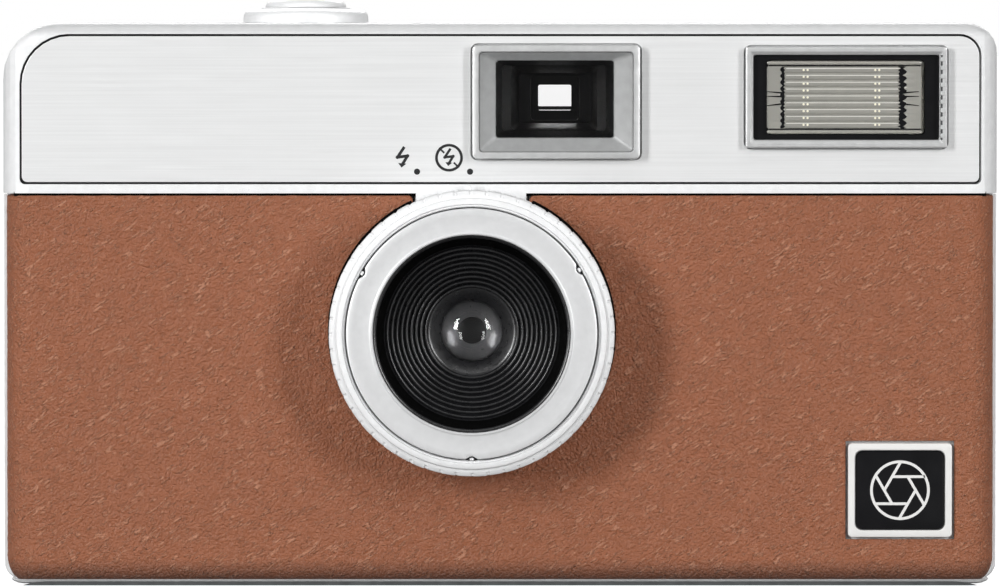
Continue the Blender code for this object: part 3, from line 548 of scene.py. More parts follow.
def hide(name, node, columns, rows, place, holes):
    """A skin of leather over a grid of columns and rows. place gives a point and its outward direction, and
    holes says what is cut away. Its rim turns inwards by the hide's thickness."""
    shape = bmesh.new()
    grid = []
    for u in columns:
        line = []
        for v in rows:
            point, outward = place(u, v)
            line.append(shape.verts.new((point + outward * grain_height(u, v)) * MM))
        grid.append(line)
    for i in range(len(columns) - 1):
        for j in range(len(rows) - 1):
            u, v = (columns[i] + columns[i + 1]) / 2, (rows[j] + rows[j + 1]) / 2
            if not holes(u, v):
                shape.faces.new((grid[i][j], grid[i + 1][j], grid[i + 1][j + 1], grid[i][j + 1]))
    loose = [vert for vert in shape.verts if not vert.link_faces]
    bmesh.ops.delete(shape, geom=loose, context="VERTS")
    bmesh.ops.recalc_face_normals(shape, faces=shape.faces)
    outward = place((columns[0] + columns[1]) / 2, (rows[0] + rows[1]) / 2)[1]
    if shape.faces[0].normal.dot(outward) < 0:
        bmesh.ops.reverse_faces(shape, faces=shape.faces)
    shape.normal_update()
    rim = [e for e in shape.edges if e.is_boundary]
    normals = {vert: vert.normal.copy() for e in rim for vert in e.verts}
    for vert, normal in normals.items():
        vert.co -= normal * RIM * MM
    wall = bmesh.ops.extrude_edge_only(shape, edges=rim)["geom"]
    turned_in = [g for g in wall if isinstance(g, bmesh.types.BMVert)]
    starts = {vert: next(e.other_vert(vert) for e in vert.link_edges if e.other_vert(vert) in normals)
              for vert in turned_in}
    for vert, start in starts.items():
        vert.co -= normals[start] * (HIDE - RIM) * MM
    return piece(name, shape, node, crease=60)


def front_hide():
    """The leather round the front and both sides."""
    low, high = box("front_leather")
    low.z -= 0.2
    bend = 2.8
    corner = 1.4
    roll, drop = 2.4, 1.5
    flat = high.x - bend
    quarter = bend * math.pi / 2
    depth = high.y - (low.y + bend)
    edge = flat + quarter + depth

    def place(u, v):
        past = max(0.0, abs(u) - flat)
        angle = min(past / bend, math.pi / 2)
        side = math.copysign(1.0, u)
        x = min(abs(u), flat) + bend * math.sin(angle)
        y = low.y + bend * (1 - math.cos(angle)) + max(0.0, past - quarter)
        lift = 0.0
        if x > high.x - corner:
            lift = corner - math.sqrt(max(0.0, corner**2 - (x - high.x + corner) ** 2))
        z = v + lift * max(0.0, 1 - (v - low.z) / (3 * corner))
        below = max(0.0, low.z + drop - v)
        sunk = roll - math.sqrt(roll**2 - below**2)
        out = Vector((side * math.sin(angle), -math.cos(angle), 0))
        z -= 0.18 * below / drop
        return Vector((side * x, y, z)) - out * sunk, (out - Vector((0, 0, below / roll))).normalized()

    badge_low, badge_high = box("badge_frame")
    notch_left, notch_right, notch_low = LENS.x - 6.5, LENS.x + 6.3, 41.6
    turn = 0.55
    lens_radius = 13.85
    room = 0.25

    def holes(u, v):
        if notch_left < u < notch_right and v > notch_low:
            return True
        near = turn - max(notch_left - u, u - notch_right)
        rise = v - high.z + turn
        if near > 0 and rise > 0 and math.hypot(near, rise) > turn:
            return True
        inside_badge = badge_low.x - room < u < badge_high.x + room
        if inside_badge and badge_low.z - room < v < badge_high.z + room:
            return True
        return math.hypot(u - LENS.x, v - LENS.z) < lens_radius

    fine = [0.08 * step for step in range(7)]
    beside = [notch_left - turn + step for step in fine] + [notch_left, notch_right]
    beside += [notch_right + turn - step for step in reversed(fine)]
    stops = [-edge, -flat, *beside, badge_low.x - room, badge_high.x + room, flat, edge]
    rows = [low.z, badge_low.z - room, badge_high.z + room, notch_low]
    rows += [high.z - turn + step for step in fine] + [high.z]
    hide("leather_wrap", "front_leather", stations(stops, PITCH), stations(rows, PITCH), place, holes)


def leather_seams():
    """Black bands of painted shade in the gaps round the lens, beside the tongue and above the leather."""
    outer, inner = 15.92, 13.9
    gap = 25
    y = FRONT - 0.16
    arcs = []
    for front in (y, y + 0.3):
        rim = arc((LENS.x, LENS.z), outer, 90 + gap, 450 - gap, 120)
        hollow = arc((LENS.x, LENS.z), inner, 450 - gap, 90 + gap, 120)
        arcs.append(facing(rim + hollow, front))
    shapes = [strip_between(arcs)]
    top = box("front_leather")[1].z
    for across in (LENS.x - 6.42, LENS.x + 6.22):
        shapes.append(sheet(rounded((across, top - 0.55), (0.13, 1.5), 0.05, 2), FRONT - 0.03, FRONT + 0.4))
    line = rounded((0, top + 0.18), (2 * BODY_HIGH.x - 2.6, 0.5), 0.05, 2)
    shapes.append(sheet(line, FRONT + 0.5, FRONT + 1.2))
    piece("leather_gap_painted_shade", merged(*shapes), slot="black_moulding", finish="painted_shade_black")


def strip_between(loops):
    """A flat band whose outline runs out along one edge and back along the other, with a front and a back."""
    shape = bmesh.new()
    rows = rows_of(shape, loops)
    half = len(rows[0]) // 2
    for row in rows:
        bridge(shape, row[:half], row[:half - 1:-1], False)
    bridge(shape, *rows)
    bmesh.ops.recalc_face_normals(shape, faces=shape.faces)
    return shape


def casing_lip():
    """The casing's bright lip, just outside the leather on each side and round the lower corners."""
    reach, radius, run = 0.3, 1.9, 1.6
    top = box("front_leather")[1].z
    front = box("front_leather")[1].y + 0.02
    bottom = BODY_LOW.z
    sections = ((0.12, front), (0.0, front + 0.12), (0.0, front + 0.9), (0.5, front + 0.9), (0.5, front))
    sides = []
    for side in (-1, 1):
        edge = BODY_HIGH.x + reach
        shape = bmesh.new()
        loops = []
        for inset, y in sections:
            outline = [(edge - inset, top)]
            outline += arc((edge - radius, bottom + radius), radius - inset, 0, -90, 10)
            outline.append((edge - radius - run, bottom + inset))
            loops.append([(side * x, y, z) for x, z in outline])
        rows = rows_of(shape, loops)
        for row, other in zip(rows, rows[1:] + rows[:1]):
            bridge(shape, row, other, False)
        for end in (0, -1):
            shape.faces.new([row[end] for row in rows])
        bmesh.ops.recalc_face_normals(shape, faces=shape.faces)
        sides.append(shape)
    piece("casing_lip", merged(*sides), slot="silver_paint")


def tapered(start, end, steps):
    """Places and sizes from one end to the other, where steps gives each end's (distance in, share)."""
    far = [(end - away, share) for away, share in reversed(steps)]
    return [(start + away, share) for away, share in steps] + far


def base_edge():
    """A dark strip under the front, below a bright line: painted shade where the casing's lower edge turns
    from the light.
    """
    half = BODY_HIGH.x - 2.3
    bottom = BODY_LOW.z - 0.15
    loops = []
    for x, share in tapered(-half, half, ((0.0, 0.1), (1.2, 0.8), (2.5, 1.0))):
        loops.append([(x, FRONT + 0.2, bottom), (x, FRONT + 0.02, bottom), (x, FRONT, bottom + 0.42 * share),
                      (x, FRONT + 0.2, bottom + 0.44 * share)])
    piece("base_edge_painted_shade", lofted(loops), slot="silver_paint", finish="painted_shade_edge")


def strap_recess():
    """The dark cup behind the strap bar."""
    bar = middle("strap_bar")
    low, high = box("strap_bar")
    size = (7.4, high.z - low.z + 0.8)
    deep, mouth = bar.x - 3.0, bar.x - 0.1

    def loop(x, grow):
        return [(x, y, z) for y, z in rounded((bar.y, bar.z), grown(size, grow), 0.8)]

    wall = lofted([loop(mouth, 0.0), loop(deep, 0.0), loop(deep - 0.2, 0.4), loop(mouth, 0.4)], True)
    bottom = lofted([loop(deep - 0.2, 0.2), loop(deep - 0.05, 0.2)])
    piece("strap_recess", merged(wall, bottom), slot="black_moulding")


def back_hide():
    """The leather panel in the back door."""
    low, high = box("back_leather")
    corner = 2.0

    def place(u, v):
        across = max(0.0, abs(u - (low.x + high.x) / 2) - ((high.x - low.x) / 2 - corner))
        lift = corner - math.sqrt(max(0.0, corner**2 - across**2))
        half = (high.z - low.z) / 2
        centre = (low.z + high.z) / 2
        z = centre + (v - centre) * (half - lift) / half
        return Vector((u, high.y - RIM / 2, z)), Vector((0, 1, 0))

    columns = stations([low.x, low.x + corner, high.x - corner, high.x], PITCH * 1.3)
    hide("door_panel_leather", "back_leather", columns, stations([low.z, high.z], PITCH * 1.3), place,
         lambda u, v: False)


# ---------------------------------------------------------------- lens

KNURLS = 28


def switch_ring():
    """The flash switch: a stepped front, a knurled grip and a pointer."""
    front, back = depths("flash_switch_ring")
    outer, inner = 15.68, 13.87
    tick = 0.12
    section = [
        (inner, back, 0), (inner, front - 0.35, 0), (inner + 0.12, front - 0.2, 0),
        (inner + 0.26, front - 0.2, 0), (inner + 0.36, front, 0), (14.7, front - 0.02, 0),
        (14.82, front - 0.1, 0), (14.86, front - 0.3, 0), (14.9, front - 0.42, 0), (15.1, front - 0.44, 0),
        (15.26, front - 0.5, 0), (15.3, front - 0.52, 1), (outer - 0.14, front - 0.62, 1),
        (outer - 0.04, front - 0.72, 0.5), (outer, front - 0.95, 0.25), (outer, back + 0.75, 1),
        (outer - 0.3, back + 0.6, 0), (outer - 0.4, back, 0),
    ]
    steps = KNURLS * 2 * 12

    def loop(radius, ahead, ticked):
        points = []
        for step in range(steps):
            dip = ticked * tick if step % 12 in (0, 1) else 0.0
            flat = ticked * 0.05 if step // 12 % 2 else 0.0
            angle = math.tau * step / steps + math.pi / 2
            points.append(round_lens(radius - dip - flat, angle, dip - ahead))
        return points

    piece("switch_ring_fine", lofted([loop(*part) for part in section], True), "flash_switch_ring")
    foot, tip, top = 0.75, 0.2, 16.1
    outline = [(-foot, 15.2), (foot, 15.2), (foot, 15.5), (tip + 0.05, 15.62), (tip, top), (-tip, top),
               (-tip - 0.05, 15.62), (-foot, 15.5)]
    place = (LENS.x - 0.3, LENS.z)
    pointer = sheet(shifted(outline, place), -12.4, -11.4)
    bevelled(piece("switch_pointer", pointer, body="flash_switch", slot="silver_paint"), 0.08)


def trim_ring():
    """The flat ring round the cone, with three clip notches in its edge."""
    front, back = depths("lens_trim_ring")
    mouth = 10.85
    outer = 13.76
    clips = (-90, 30.8, 151)
    section = [
        (outer, back, 1), (outer, front - 0.38, 1), (outer - 0.06, front - 0.26, 1),
        (outer - 0.2, front - 0.2, 1), (outer - 0.8, front - 0.22, 0), (mouth + 0.42, front - 0.34, 0),
        (mouth + 0.3, front - 0.3, 0), (mouth + 0.2, front - 0.2, 0), (mouth + 0.1, front - 0.19, 0),
        (mouth, front - 0.3, 0), (mouth, back, 0),
    ]
    steps = 360

    def loop(radius, ahead, notched):
        points = []
        for step in range(steps):
            degrees = 360 * step / steps
            away = min(abs((degrees - clip + 180) % 360 - 180) for clip in clips)
            dip = notched * 0.36 * max(0.0, 1 - (away / 2.6) ** 2) if away < 2.6 else 0.0
            points.append(round_lens(radius - dip, math.radians(degrees), -ahead))
        return points

    ring = lofted([loop(*part) for part in section], True)
    piece("trim_ring_fine", ring, "lens_trim_ring", finish="satin_silver")
    tabs = []
    for clip in clips:
        outline = turned(rounded((13.7, 0), (0.3, 0.5), 0.12, 3), clip)
        tabs.append(sheet(shifted(outline, (LENS.x, LENS.z)), 0.6 - front, -back))
    bevelled(piece("trim_clips", merged(*tabs), slot="silver_paint"), 0.06)


def cone():
    """The black funnel: a glossy mouth, nine ribs and a smooth throat round the glass, with a band of painted
    shade over the mouth.
    """
    front, back = depths("lens_cone")
    ribs = 9
    wide, narrow = 9.6, 4.83
    top, bottom = front - 2.4, 12.6
    throat = 3.4
    profile = [(11.3, front), (11.3, front - 1.6), (5.8, back + 1.0), (4.6, back), (throat, back)]
    profile += [(throat, 10.9), (throat + 0.05, 11.0), (throat + 0.2, 11.08), (narrow - 0.25, bottom - 0.2)]
    pitch = (wide - narrow) / ribs
    rise = (top - bottom) / ribs
    swell = pitch * 0.3
    for rib in range(ribs):
        radius = narrow + pitch * (rib + 0.42)
        height = bottom + rise * (rib + 0.5)
        profile.append((radius - swell - pitch * 0.14, height - 0.35))
        for step in range(7):
            angle = math.pi * (1 - step / 6)
            profile.append((radius + swell * math.cos(angle), height + swell * math.sin(angle)))
        profile.append((radius + swell, height - 0.1))
    profile += [(wide, top - 0.1), (wide + 0.1, top), (10.45, front - 0.25), (10.6, front - 0.05)]
    profile.append((10.75, front))
    piece("lens_cone_fine", about_lens(profile), "lens_cone", finish="rib_black", crease=50)
    # Painted shade: a lightless black band laid over the mouth's slope.
    mouth = [(wide + 0.06, top + 0.02), (10.41, front - 0.23), (10.47, front - 0.35)]
    mouth.append((wide + 0.14, top - 0.08))
    piece("cone_mouth", about_lens(mouth), slot="black_moulding", finish="painted_shade_black", crease=50)


def lens_glass():
    """The domed front element, with a flat back."""
    low, high = box("front_element")
    radius = (high.x - low.x) / 2
    bulge = 1.1
    front, back = -low.y, -high.y
    sphere = (radius**2 + bulge**2) / (2 * bulge)
    reach = math.asin(radius / sphere)
    dome = []
    for step in range(15):
        angle = reach * step / 14
        dome.append((sphere * math.sin(angle), front - sphere * (1 - math.cos(angle))))
    profile = dome + [(radius, back + 0.1), (radius - 0.1, back), (0, back)]
    piece("front_glass", about_lens(profile, 96, False), "front_element", finish="lens_glass", crease=50)
    low, high = box("aperture_plate")
    front, back = -low.y, -high.y
    edge, opening = (high.x - low.x) / 2, 1.16
    plate = [(edge, front), (edge, back), (opening, back), (opening - 0.02, back + 0.1)]
    plate.append((opening + 0.1, front))
    piece("aperture_disc", about_lens(plate, 96), "aperture_plate", finish="dark_metal")


# ---------------------------------------------------------------- windows in the face plate


def finder():
    """The viewfinder: a silver bezel with sloping sides, a glass and a dark tunnel down to the eyepiece."""
    low, high, centre, size = outlined("viewfinder_bezel")
    opening = (centre[0] - 0.15, centre[1] + 0.3)
    glass = (13.0, 8.5)
    lip = [
        (0, 0.5, high.y), (0, 0.5, low.y + 0.2), (-0.12, 0.45, low.y + 0.05), (-0.34, 0.4, low.y),
        (-1.28, 0.5, low.y), (-1.42, 0.45, low.y + 0.08), (-1.46, 0.45, low.y + 0.3), (-1.46, 0.45, high.y),
    ]
    bezel = framed(loops_about(centre, size, lip))
    piece("finder_bezel", bezel, "viewfinder_bezel", finish="silver_moulding", crease=25)
    top = [
        (-1.5, 0.45, high.y), (-1.5, 0.45, low.y + 0.4), (-1.64, 0.4, low.y + 0.34),
        (-1.76, 0.4, low.y + 0.4),
    ]
    foot = [
        (0.12, 0.35, high.y - 0.35), (0, 0.3, high.y - 0.1), (0, 0.3, high.y + 0.9), (0.5, 0.3, high.y + 0.9),
        (0.5, 0.3, high.y),
    ]
    slopes = loops_about(centre, size, top)
    slopes.append((opening, grown(glass, 0.5, 0.9), 0.4, high.y - 0.5))
    slopes += loops_about(opening, glass, foot)
    # Painted shade: the bezel's inner slopes are silver paint given a darker grey.
    piece("finder_slopes", framed(slopes), slot="silver_paint", finish="slope_painted_shade", crease=25)
    low, high = box("viewfinder_tunnel")
    mouth = (13.7, 8.8)
    wall = (15.2, 10.2)
    eye = (6.2, 53.5)
    hole = (3.75, 2.9)
    section = [
        (opening, wall, 0.5, low.y), (opening, wall, 0.5, high.y), (eye, hole, 0.2, high.y),
        (eye, hole, 0.2, high.y - 0.5), (eye, (hole[0] + 1.6, hole[1] + 2.2), 0.4, high.y - 0.6),
        (eye, (5.6, 5.0), 0.5, high.y - 5.0), (eye, (8.2, 5.6), 0.5, high.y - 5.2),
        (opening, (9.6, 7.2), 0.5, 2.0), (opening, (11.6, 7.4), 0.5, 1.8), (opening, mouth, 0.5, low.y + 0.4),
        (opening, grown(mouth, 0.2), 0.5, low.y),
    ]
    piece("finder_tunnel", framed(section), "viewfinder_tunnel", crease=25)
    refined("viewfinder_front_lens", 0.25, "lens_glass")


def eyepiece():
    """The rear rim of the finder, rounded like a soft eyecup."""
    low, high, centre, size = outlined("eyepiece_frame")
    cup = [
        (0, 0.8, low.y), (0, 0.8, high.y - 0.4), (-0.15, 0.75, high.y - 0.12), (-0.5, 0.7, high.y),
        (-0.75, 0.6, high.y - 0.05), (-0.95, 0.5, high.y - 0.35), (-1.0, 0.5, low.y),
    ]
    piece("eyepiece_rim", framed(loops_about(centre, size, cup, 0.8)), "eyepiece_frame", crease=40)


def flash_window():
    """The flash: a silver frame, a dark surround, a ribbed lens block, and a trough with its tube behind."""
    low, high, centre, size = outlined("flash_frame")
    inside = (20.5, 9.35)
    lip = [
        (0, 0.16, high.y), (0, 0.16, low.y + 0.2), (-0.12, 0.14, low.y + 0.05), (-0.3, 0.12, low.y),
        (-0.95, 0.12, low.y), (-1.1, 0.12, low.y + 0.06),
    ]
    wall = [(0.1, 0.25, low.y + 0.35), (0, 0.25, low.y + 0.6), (0, 0.25, high.y + 0.4)]
    back = [(-0.6, 0.25, high.y + 0.4), (-0.6, 0.25, high.y)]
    bezel = loops_about(centre, size, lip) + loops_about(centre, inside, wall)
    bezel += loops_about(centre, size, back)
    piece("flash_bezel", framed(bezel), "flash_frame", finish="silver_moulding", crease=25)
    window = (17.1, 8.0)
    well = low.y + 0.95
    surround = [(centre, grown(inside, -0.1), 0.2, well)]
    steps = [(0.3, 0.5, well), (0.1, 0.4, well + 0.15), (0.1, 0.4, well + 1.2)]
    surround += loops_about(centre, window, steps)
    surround.append((centre, grown(inside, -0.1), 0.2, well + 1.2))
    piece("flash_surround", framed(surround), slot="gloss_black")
    block = (centre[0] - 0.2, centre[1])
    ribbed_lens(block, window, low.y + 0.3, -9.3)
    flash_teeth(block, window, low.y + 0.3)
    flash_wall_ribs(centre, inside, low.y)
    trough(centre, window)


def ribbed_lens(centre, size, front, back):
    """A clear block with a row of level half round ribs, plain ends, and a clear rod above and below."""
    ribs = 9
    rod = 0.42
    gap = 0.14
    left, right = centre[0] - size[0] / 2, centre[0] + size[0] / 2
    half = size[1] / 2 - rod - gap
    pitch = 2 * half / ribs
    plain = 1.9

    def section(x, inset, depth):
        points = [(x, front + depth + 0.12, centre[1] - half + inset)]
        for rib in range(ribs):
            base = -half + pitch * rib
            for step in range(1, 10):
                angle = math.pi * step / 10
                z = max(-half + inset, min(half - inset, base + pitch * (1 - math.cos(angle)) / 2))
                points.append((x, front + depth + 0.32 - 0.3 * math.sin(angle), centre[1] + z))
        points.append((x, front + depth + 0.12, centre[1] + half - inset))
        points += [(x, back, centre[1] + half - inset), (x, back, centre[1] - half + inset)]
        return points

    def flat(points, y):
        return [(x, y if depth < back - 0.5 else depth, z) for x, depth, z in points]

    def plain_end(edge, inward):
        steps = ((0.0, 0.14, 0.2, 0.28), (0.14, 0.0, 0.0, 0.06), (plain, 0.0, 0.0, 0.0))
        return [flat(section(edge + inward * away, inset, depth), front + lift)
                for away, inset, depth, lift in steps]

    ribbed = [section(x, 0.0, 0.0) for x in (left + plain + 0.12, right - plain - 0.12)]
    rows = plain_end(left, 1) + ribbed + plain_end(right, -1)[::-1]
    piece("flash_lens_ribbed", lofted(rows), "flash_lens", crease=50)
    rods = []
    for side in (-1, 1):
        height = centre[1] + side * (size[1] / 2 - rod / 2)
        ends = tapered(left, right, ((0.0, 0.5), (0.12, 0.9), (0.4, 1.0)))
        rods.append(lofted([[(x, front + 0.3 + b, height + a) for a, b in circle(rod / 2 * share, 16)]
                            for x, share in ends]))
    piece("flash_lens_rods", merged(*rods), slot="flash_diffuser")


def trough(centre, size):
    """The chrome reflector: a curved trough with slanting ends, open at the front."""
    steps = 12
    mouth = -8.9
    depth = 4.6
    half = size[1] / 2

    def section(x, sink, wall):
        points = []
        for step in range(steps + 1):
            share = step / steps * 2 - 1
            z = centre[1] + (half + wall) * share
            y = mouth + (depth - sink) * (1 - share**2) + wall
            points.append((x, y if abs(share) < 1 else mouth, z))
        return points

    left, right = centre[0] - size[0] / 2, centre[0] + size[0] / 2
    end = depth - 0.1
    shape = bmesh.new()
    grids = []
    for wall, past, slope in ((0.0, 0.3, 1.9), (0.3, 0.6, 1.7)):
        places = tapered(left, right, ((-past, end), (slope, 0.0)))
        grids.append(rows_of(shape, [section(x, sink, wall) for x, sink in places]))
    first, second = grids
    for grid in grids:
        for row, other in zip(grid, grid[1:]):
            bridge(shape, row, other, False)
    for end in (0, -1):
        bridge(shape, first[end], second[end], False)
    for side in (0, -1):
        bridge(shape, [row[side] for row in first], [row[side] for row in second], False)
    bmesh.ops.recalc_face_normals(shape, faces=shape.faces)
    piece("flash_trough", shape, "flash_reflector", finish="trough_metal", crease=50)


def flash_teeth(centre, size, front):
    """Jagged dark seams between the ribs and the plain ends of the flash block, cracks, dots of painted
    reflection and glints as painted highlights.
    """
    half = size[1] / 2 - 0.6
    count = 36
    seams = []
    reflection_dots = []
    for side, inward, jag in ((-1, 1.75, 0.7), (1, 2.25, 1.25)):
        edge = centre[0] + side * (size[0] / 2 - inward)
        outer, inner = [], []
        for step in range(count + 1):
            z = centre[1] + half * (2 * step / count - 1)
            outer.append((edge + side * jag * (0.04 + 0.42 * abs(math.sin(step * 2.3 + side))), z))
            inner.append((edge - side * jag * (0.04 + 0.3 * abs(math.sin(step * 1.7))), z))
        seams.append(sheet(outer + inner[::-1], front - 0.03, front + 0.04))
        for height in (-0.7, 0.1, 0.5):
            crack = [(edge, height + centre[1] - 0.1), (edge + side * 1.9, height * 1.3 + centre[1] - 0.03),
                     (edge + side * 1.9, height * 1.3 + centre[1] + 0.03), (edge, height + centre[1] + 0.1)]
            seams.append(sheet(crack, front - 0.035, front + 0.03))
        # Painted reflections: two columns of warm dots, as the flash tube's electrodes seen in the ribs.
        for rib in range(9):
            height = centre[1] + half * (rib - 4) / 4.5
            for across in (-0.22, 0.22):
                spot = (centre[0] + side * 3.95 - 0.35 + across, height)
                dot_profile = ((0.13, 0.03), (0.1, -0.02), (0.04, -0.04))
                reflection_dots.append(lofted([facing(disc(r, spot, 12), front + y) for r, y in dot_profile]))
    for side in (-1, 1):
        height = centre[1] + side * (half + 0.09)
        line = rounded((centre[0], height), (size[0] - 0.3, 0.16), 0.06, 3)
        seams.append(sheet(line, front + 0.16, front + 0.3))
    # Painted highlights: a thin light line on each rib.
    glints = []
    for rib in range(9):
        height = centre[1] + half * (rib - 3.78) / 4.5
        line = rounded((centre[0] - 0.1, height), (size[0] - 4.4, 0.07), 0.03, 2)
        glints.append(sheet(line, front - 0.012, front + 0.04))
    piece("flash_glints", merged(*glints), slot="flash_diffuser", finish="rib_glint")
    piece("flash_seams", merged(*seams), slot="gloss_black")
    piece("flash_painted_reflections", merged(*reflection_dots), slot="flash_diffuser", finish="painted_reflection_dots")


def flash_wall_ribs(centre, size, front):
    """A row of small ribs down the right side of the flash frame, over a dark slot."""
    ribs = 10
    across = centre[0] + size[0] / 2 + 0.42
    pitch = size[1] / ribs
    slot = sheet(rounded((across, centre[1]), (0.62, size[1]), 0.05, 2), front + 0.02, front + 0.5)
    piece("flash_wall_slot", slot, slot="black_moulding", finish="dark_metal")
    bars = []
    for rib in range(ribs):
        height = centre[1] - size[1] / 2 + pitch * (rib + 0.5)
        bars.append(sheet(rounded((across, height), (0.56, pitch * 0.52), 0.1, 3), front - 0.06, front + 0.4))
    bars = piece("flash_wall_ribs", merged(*bars), slot="silver_paint", finish="silver_moulding")
    bevelled(bars, 0.06)


def plate_gap_shade():
    """A black sheet behind the face plate, seen round its edge: painted shade in the gap round the plate."""
    shape = form_of("face_plate")
    centre = (PLATE_LOW + PLATE_HIGH) / 2
    margin = 0.22
    grow = Vector((1 + margin / (PLATE_HIGH.x - centre.x), 0, 1 + margin / (PLATE_HIGH.z - centre.z)))
    for vert in shape.verts:
        place = vert.co / MM
        x = centre.x - 0.1 + (place.x - centre.x) * grow.x
        z = centre.z + (place.z - centre.z) * grow.z
        y = PLATE_HIGH.y + 0.02 + 0.2 * (place.y - PLATE_LOW.y)
        vert.co = Vector((x, y, z)) * MM
    piece("plate_gap_painted_shade", shape, slot="black_moulding")


def badge():
    """A white frame round a black tile with a plain iris motif, its own design."""
    low, high, centre, size = outlined("badge_frame")
    window = (9.95, 8.85)
    outside = [(0, 0.45, high.y), (0, 0.45, low.y + 0.16), (-0.1, 0.42, low.y + 0.04), (-0.26, 0.4, low.y)]
    inside = [(0.16, 0.85, low.y), (0, 0.8, low.y + 0.1), (0, 0.8, high.y)]
    rim = loops_about(centre, size, outside) + loops_about(centre, window, inside)
    piece("badge_rim", framed(rim), "badge_frame", finish="white_enamel")
    low, high = box("badge_inlay")
    tile = (9.8, 8.7)
    loops = [facing(rounded(centre, grown(tile, -2 * drop), 0.8), y)
             for drop, y in ((0, high.y), (0, low.y + 0.05), (0.07, low.y - 0.04), (0.2, low.y - 0.07))]
    piece("badge_tile", lofted(loops), "badge_inlay")
    iris(centre, low.y - 0.06)


def iris(centre, y):
    """Six blades round an opening: a ring and six leaning bars."""
    outer, inner, stroke = 3.3, 1.5, 0.3
    corners = ((outer, y), (outer, y - 0.05), (outer - stroke, y - 0.05), (outer - stroke, y))
    ring = lofted([facing(disc(r, centre, 72), depth) for r, depth in corners], True)
    start = -inner * 0.577
    reach = math.sqrt((outer - stroke / 2) ** 2 - inner**2)
    bar = [(x, inner + side * stroke / 2) for x, side in ((start, -1), (reach, -1), (reach, 1), (start, 1))]
    bars = []
    for blade in range(6):
        bars.append(sheet(shifted(turned(bar, 60 * blade), centre), y - 0.05 - 0.001 * blade, y))
    piece("badge_motif", merged(ring, *bars), slot="white_plastic", finish="white_enamel")


BOLT = [(0.11, 1.06), (-0.56, 0.05), (0.55, 0.2), (-0.02, -0.74)]
BOLT_HEAD = [(-0.11, -1.09), (-0.48, -0.58), (0.42, -0.66)]
STROKE = 0.32


def stroke(start, end, width):
    """A bar from one point to another, with its ends half a width further out."""
    start, end = Vector(start), Vector(end)
    along = (end - start).normalized() * width / 2
    side = Vector((-along.y, along.x))
    corners = (start - along - side, end + along - side, end + along + side, start - along + side)
    return [tuple(corner) for corner in corners]


def bolt(centre, size, y, ink):
    """A lightning bolt with an arrowhead."""
    line = [(x * size, z * size) for x, z in BOLT]
    bars = [stroke(a, b, STROKE * size) for a, b in zip(line, line[1:])]
    bars.append([(x * size, z * size) for x, z in BOLT_HEAD])
    return [sheet(shifted(bar, centre), y - ink - 0.001 * count, y) for count, bar in enumerate(bars)]


def switch_marks():
    """The printed signs for flash on and flash off, and a dot for each place of the switch."""
    y = PLATE_LOW.y
    ink = 0.03
    sign_height = 47.14
    on_x, off_x = LENS.x - 7.66, LENS.x - 2.53
    off = (off_x, sign_height)
    marks = bolt((on_x, sign_height), 1.0, y, ink) + bolt(off, 0.84, y, ink)
    rim = [(1.53, y), (1.53, y - ink), (1.24, y - ink), (1.24, y)]
    marks.append(lofted([facing(disc(r, off, 64), depth) for r, depth in rim], True))
    for start, end in (((-1.02, 1.02), (-0.6, 0.6)), ((0.6, -0.6), (1.02, -1.02))):
        marks.append(sheet(shifted(stroke(start, end, 0.2), off), y - ink - 0.004, y))
    for across in (-6.06, -0.21):
        marks.append(sheet(disc(0.34, (LENS.x + across, 45.6), 24), y - ink, y))
    piece("switch_marks", merged(*marks), slot="gloss_black", finish="black_ink")


# ---------------------------------------------------------------- top


def release_button():
    """The domed shutter button, in its collar."""
    low, high = box("shutter_button")
    centre = middle("shutter_button") - Vector((0.25, 0, 0))
    radius = (high.x - low.x) / 2 + 0.12
    stem = 1.9
    top = high.z
    skirt = box("button_collar")[1].z + 0.3
    profile = [(0, top), (1.4, top - 0.06), (2.6, top - 0.3), (radius - 1.1, skirt + 1.04),
               (radius - 0.6, skirt + 0.84), (radius - 0.26, skirt + 0.58), (radius - 0.08, skirt + 0.34),
               (radius, skirt + 0.08), (radius - 0.06, skirt), (stem, skirt), (stem, low.z), (0, low.z)]
    button = about_upright(profile, centre, 96, False)
    piece("release_button_fine", button, "shutter_button", finish="button_paint", crease=50)
    low, high = box("button_collar")
    radius = (high.x - low.x) / 2 + 0.1
    top, bottom = high.z + 0.05, TOP_HIGH.z + 0.02
    bore = 4.8
    profile = [(radius, bottom), (radius, top - 0.85), (radius - 0.08, top - 0.5),
               (radius - 0.26, top - 0.22), (radius - 0.6, top - 0.05), (radius - 1.0, top),
               (bore + 0.2, top + 0.06), (bore + 0.14, top + 0.22), (bore + 0.04, top + 0.23),
               (bore, top + 0.14), (bore, bottom)]
    collar = about_upright(profile, centre)
    piece("button_collar_fine", collar, "button_collar", finish="button_paint", crease=50)


def counter_numbers():
    """Numbers every four frames round the counter's dial, read through the window."""
    centre = middle("counter_dial")
    top = box("counter_dial")[1].z
    places = 18
    radius = 8.0
    tall = 2.0
    for place in range(places):
        text = bpy.data.curves.new(f"frame_number_{place * 4}", "FONT")
        text.body = str(place * 4)
        text.align_x = "CENTER"
        text.align_y = "CENTER"
        text.size = tall * MM
        text.extrude = 0.02 * MM
        text.resolution_u = 3
        obj = placed(text.name, text)
        turn = Matrix.Rotation(math.tau * place / places, 4, "Z")
        out = Matrix.Translation(Vector((0, -radius, 0)) * MM)
        up = Matrix.Translation(Vector((centre.x, centre.y, top + 0.02)) * MM)
        obj.matrix_world = up @ turn @ out
        bpy.context.view_layer.update()
        mesh = bpy.data.meshes.new_from_object(obj.evaluated_get(bpy.context.evaluated_depsgraph_get()))
        mesh.transform(obj.matrix_world)
        name = obj.name
        bpy.data.objects.remove(obj)
        shape = bmesh.new()
        shape.from_mesh(mesh)
        bmesh.ops.remove_doubles(shape, verts=shape.verts, dist=0.001 * MM)
        piece(name, shape, body="counter", slot="gloss_black", finish="black_ink")


# ---------------------------------------------------------------- studio


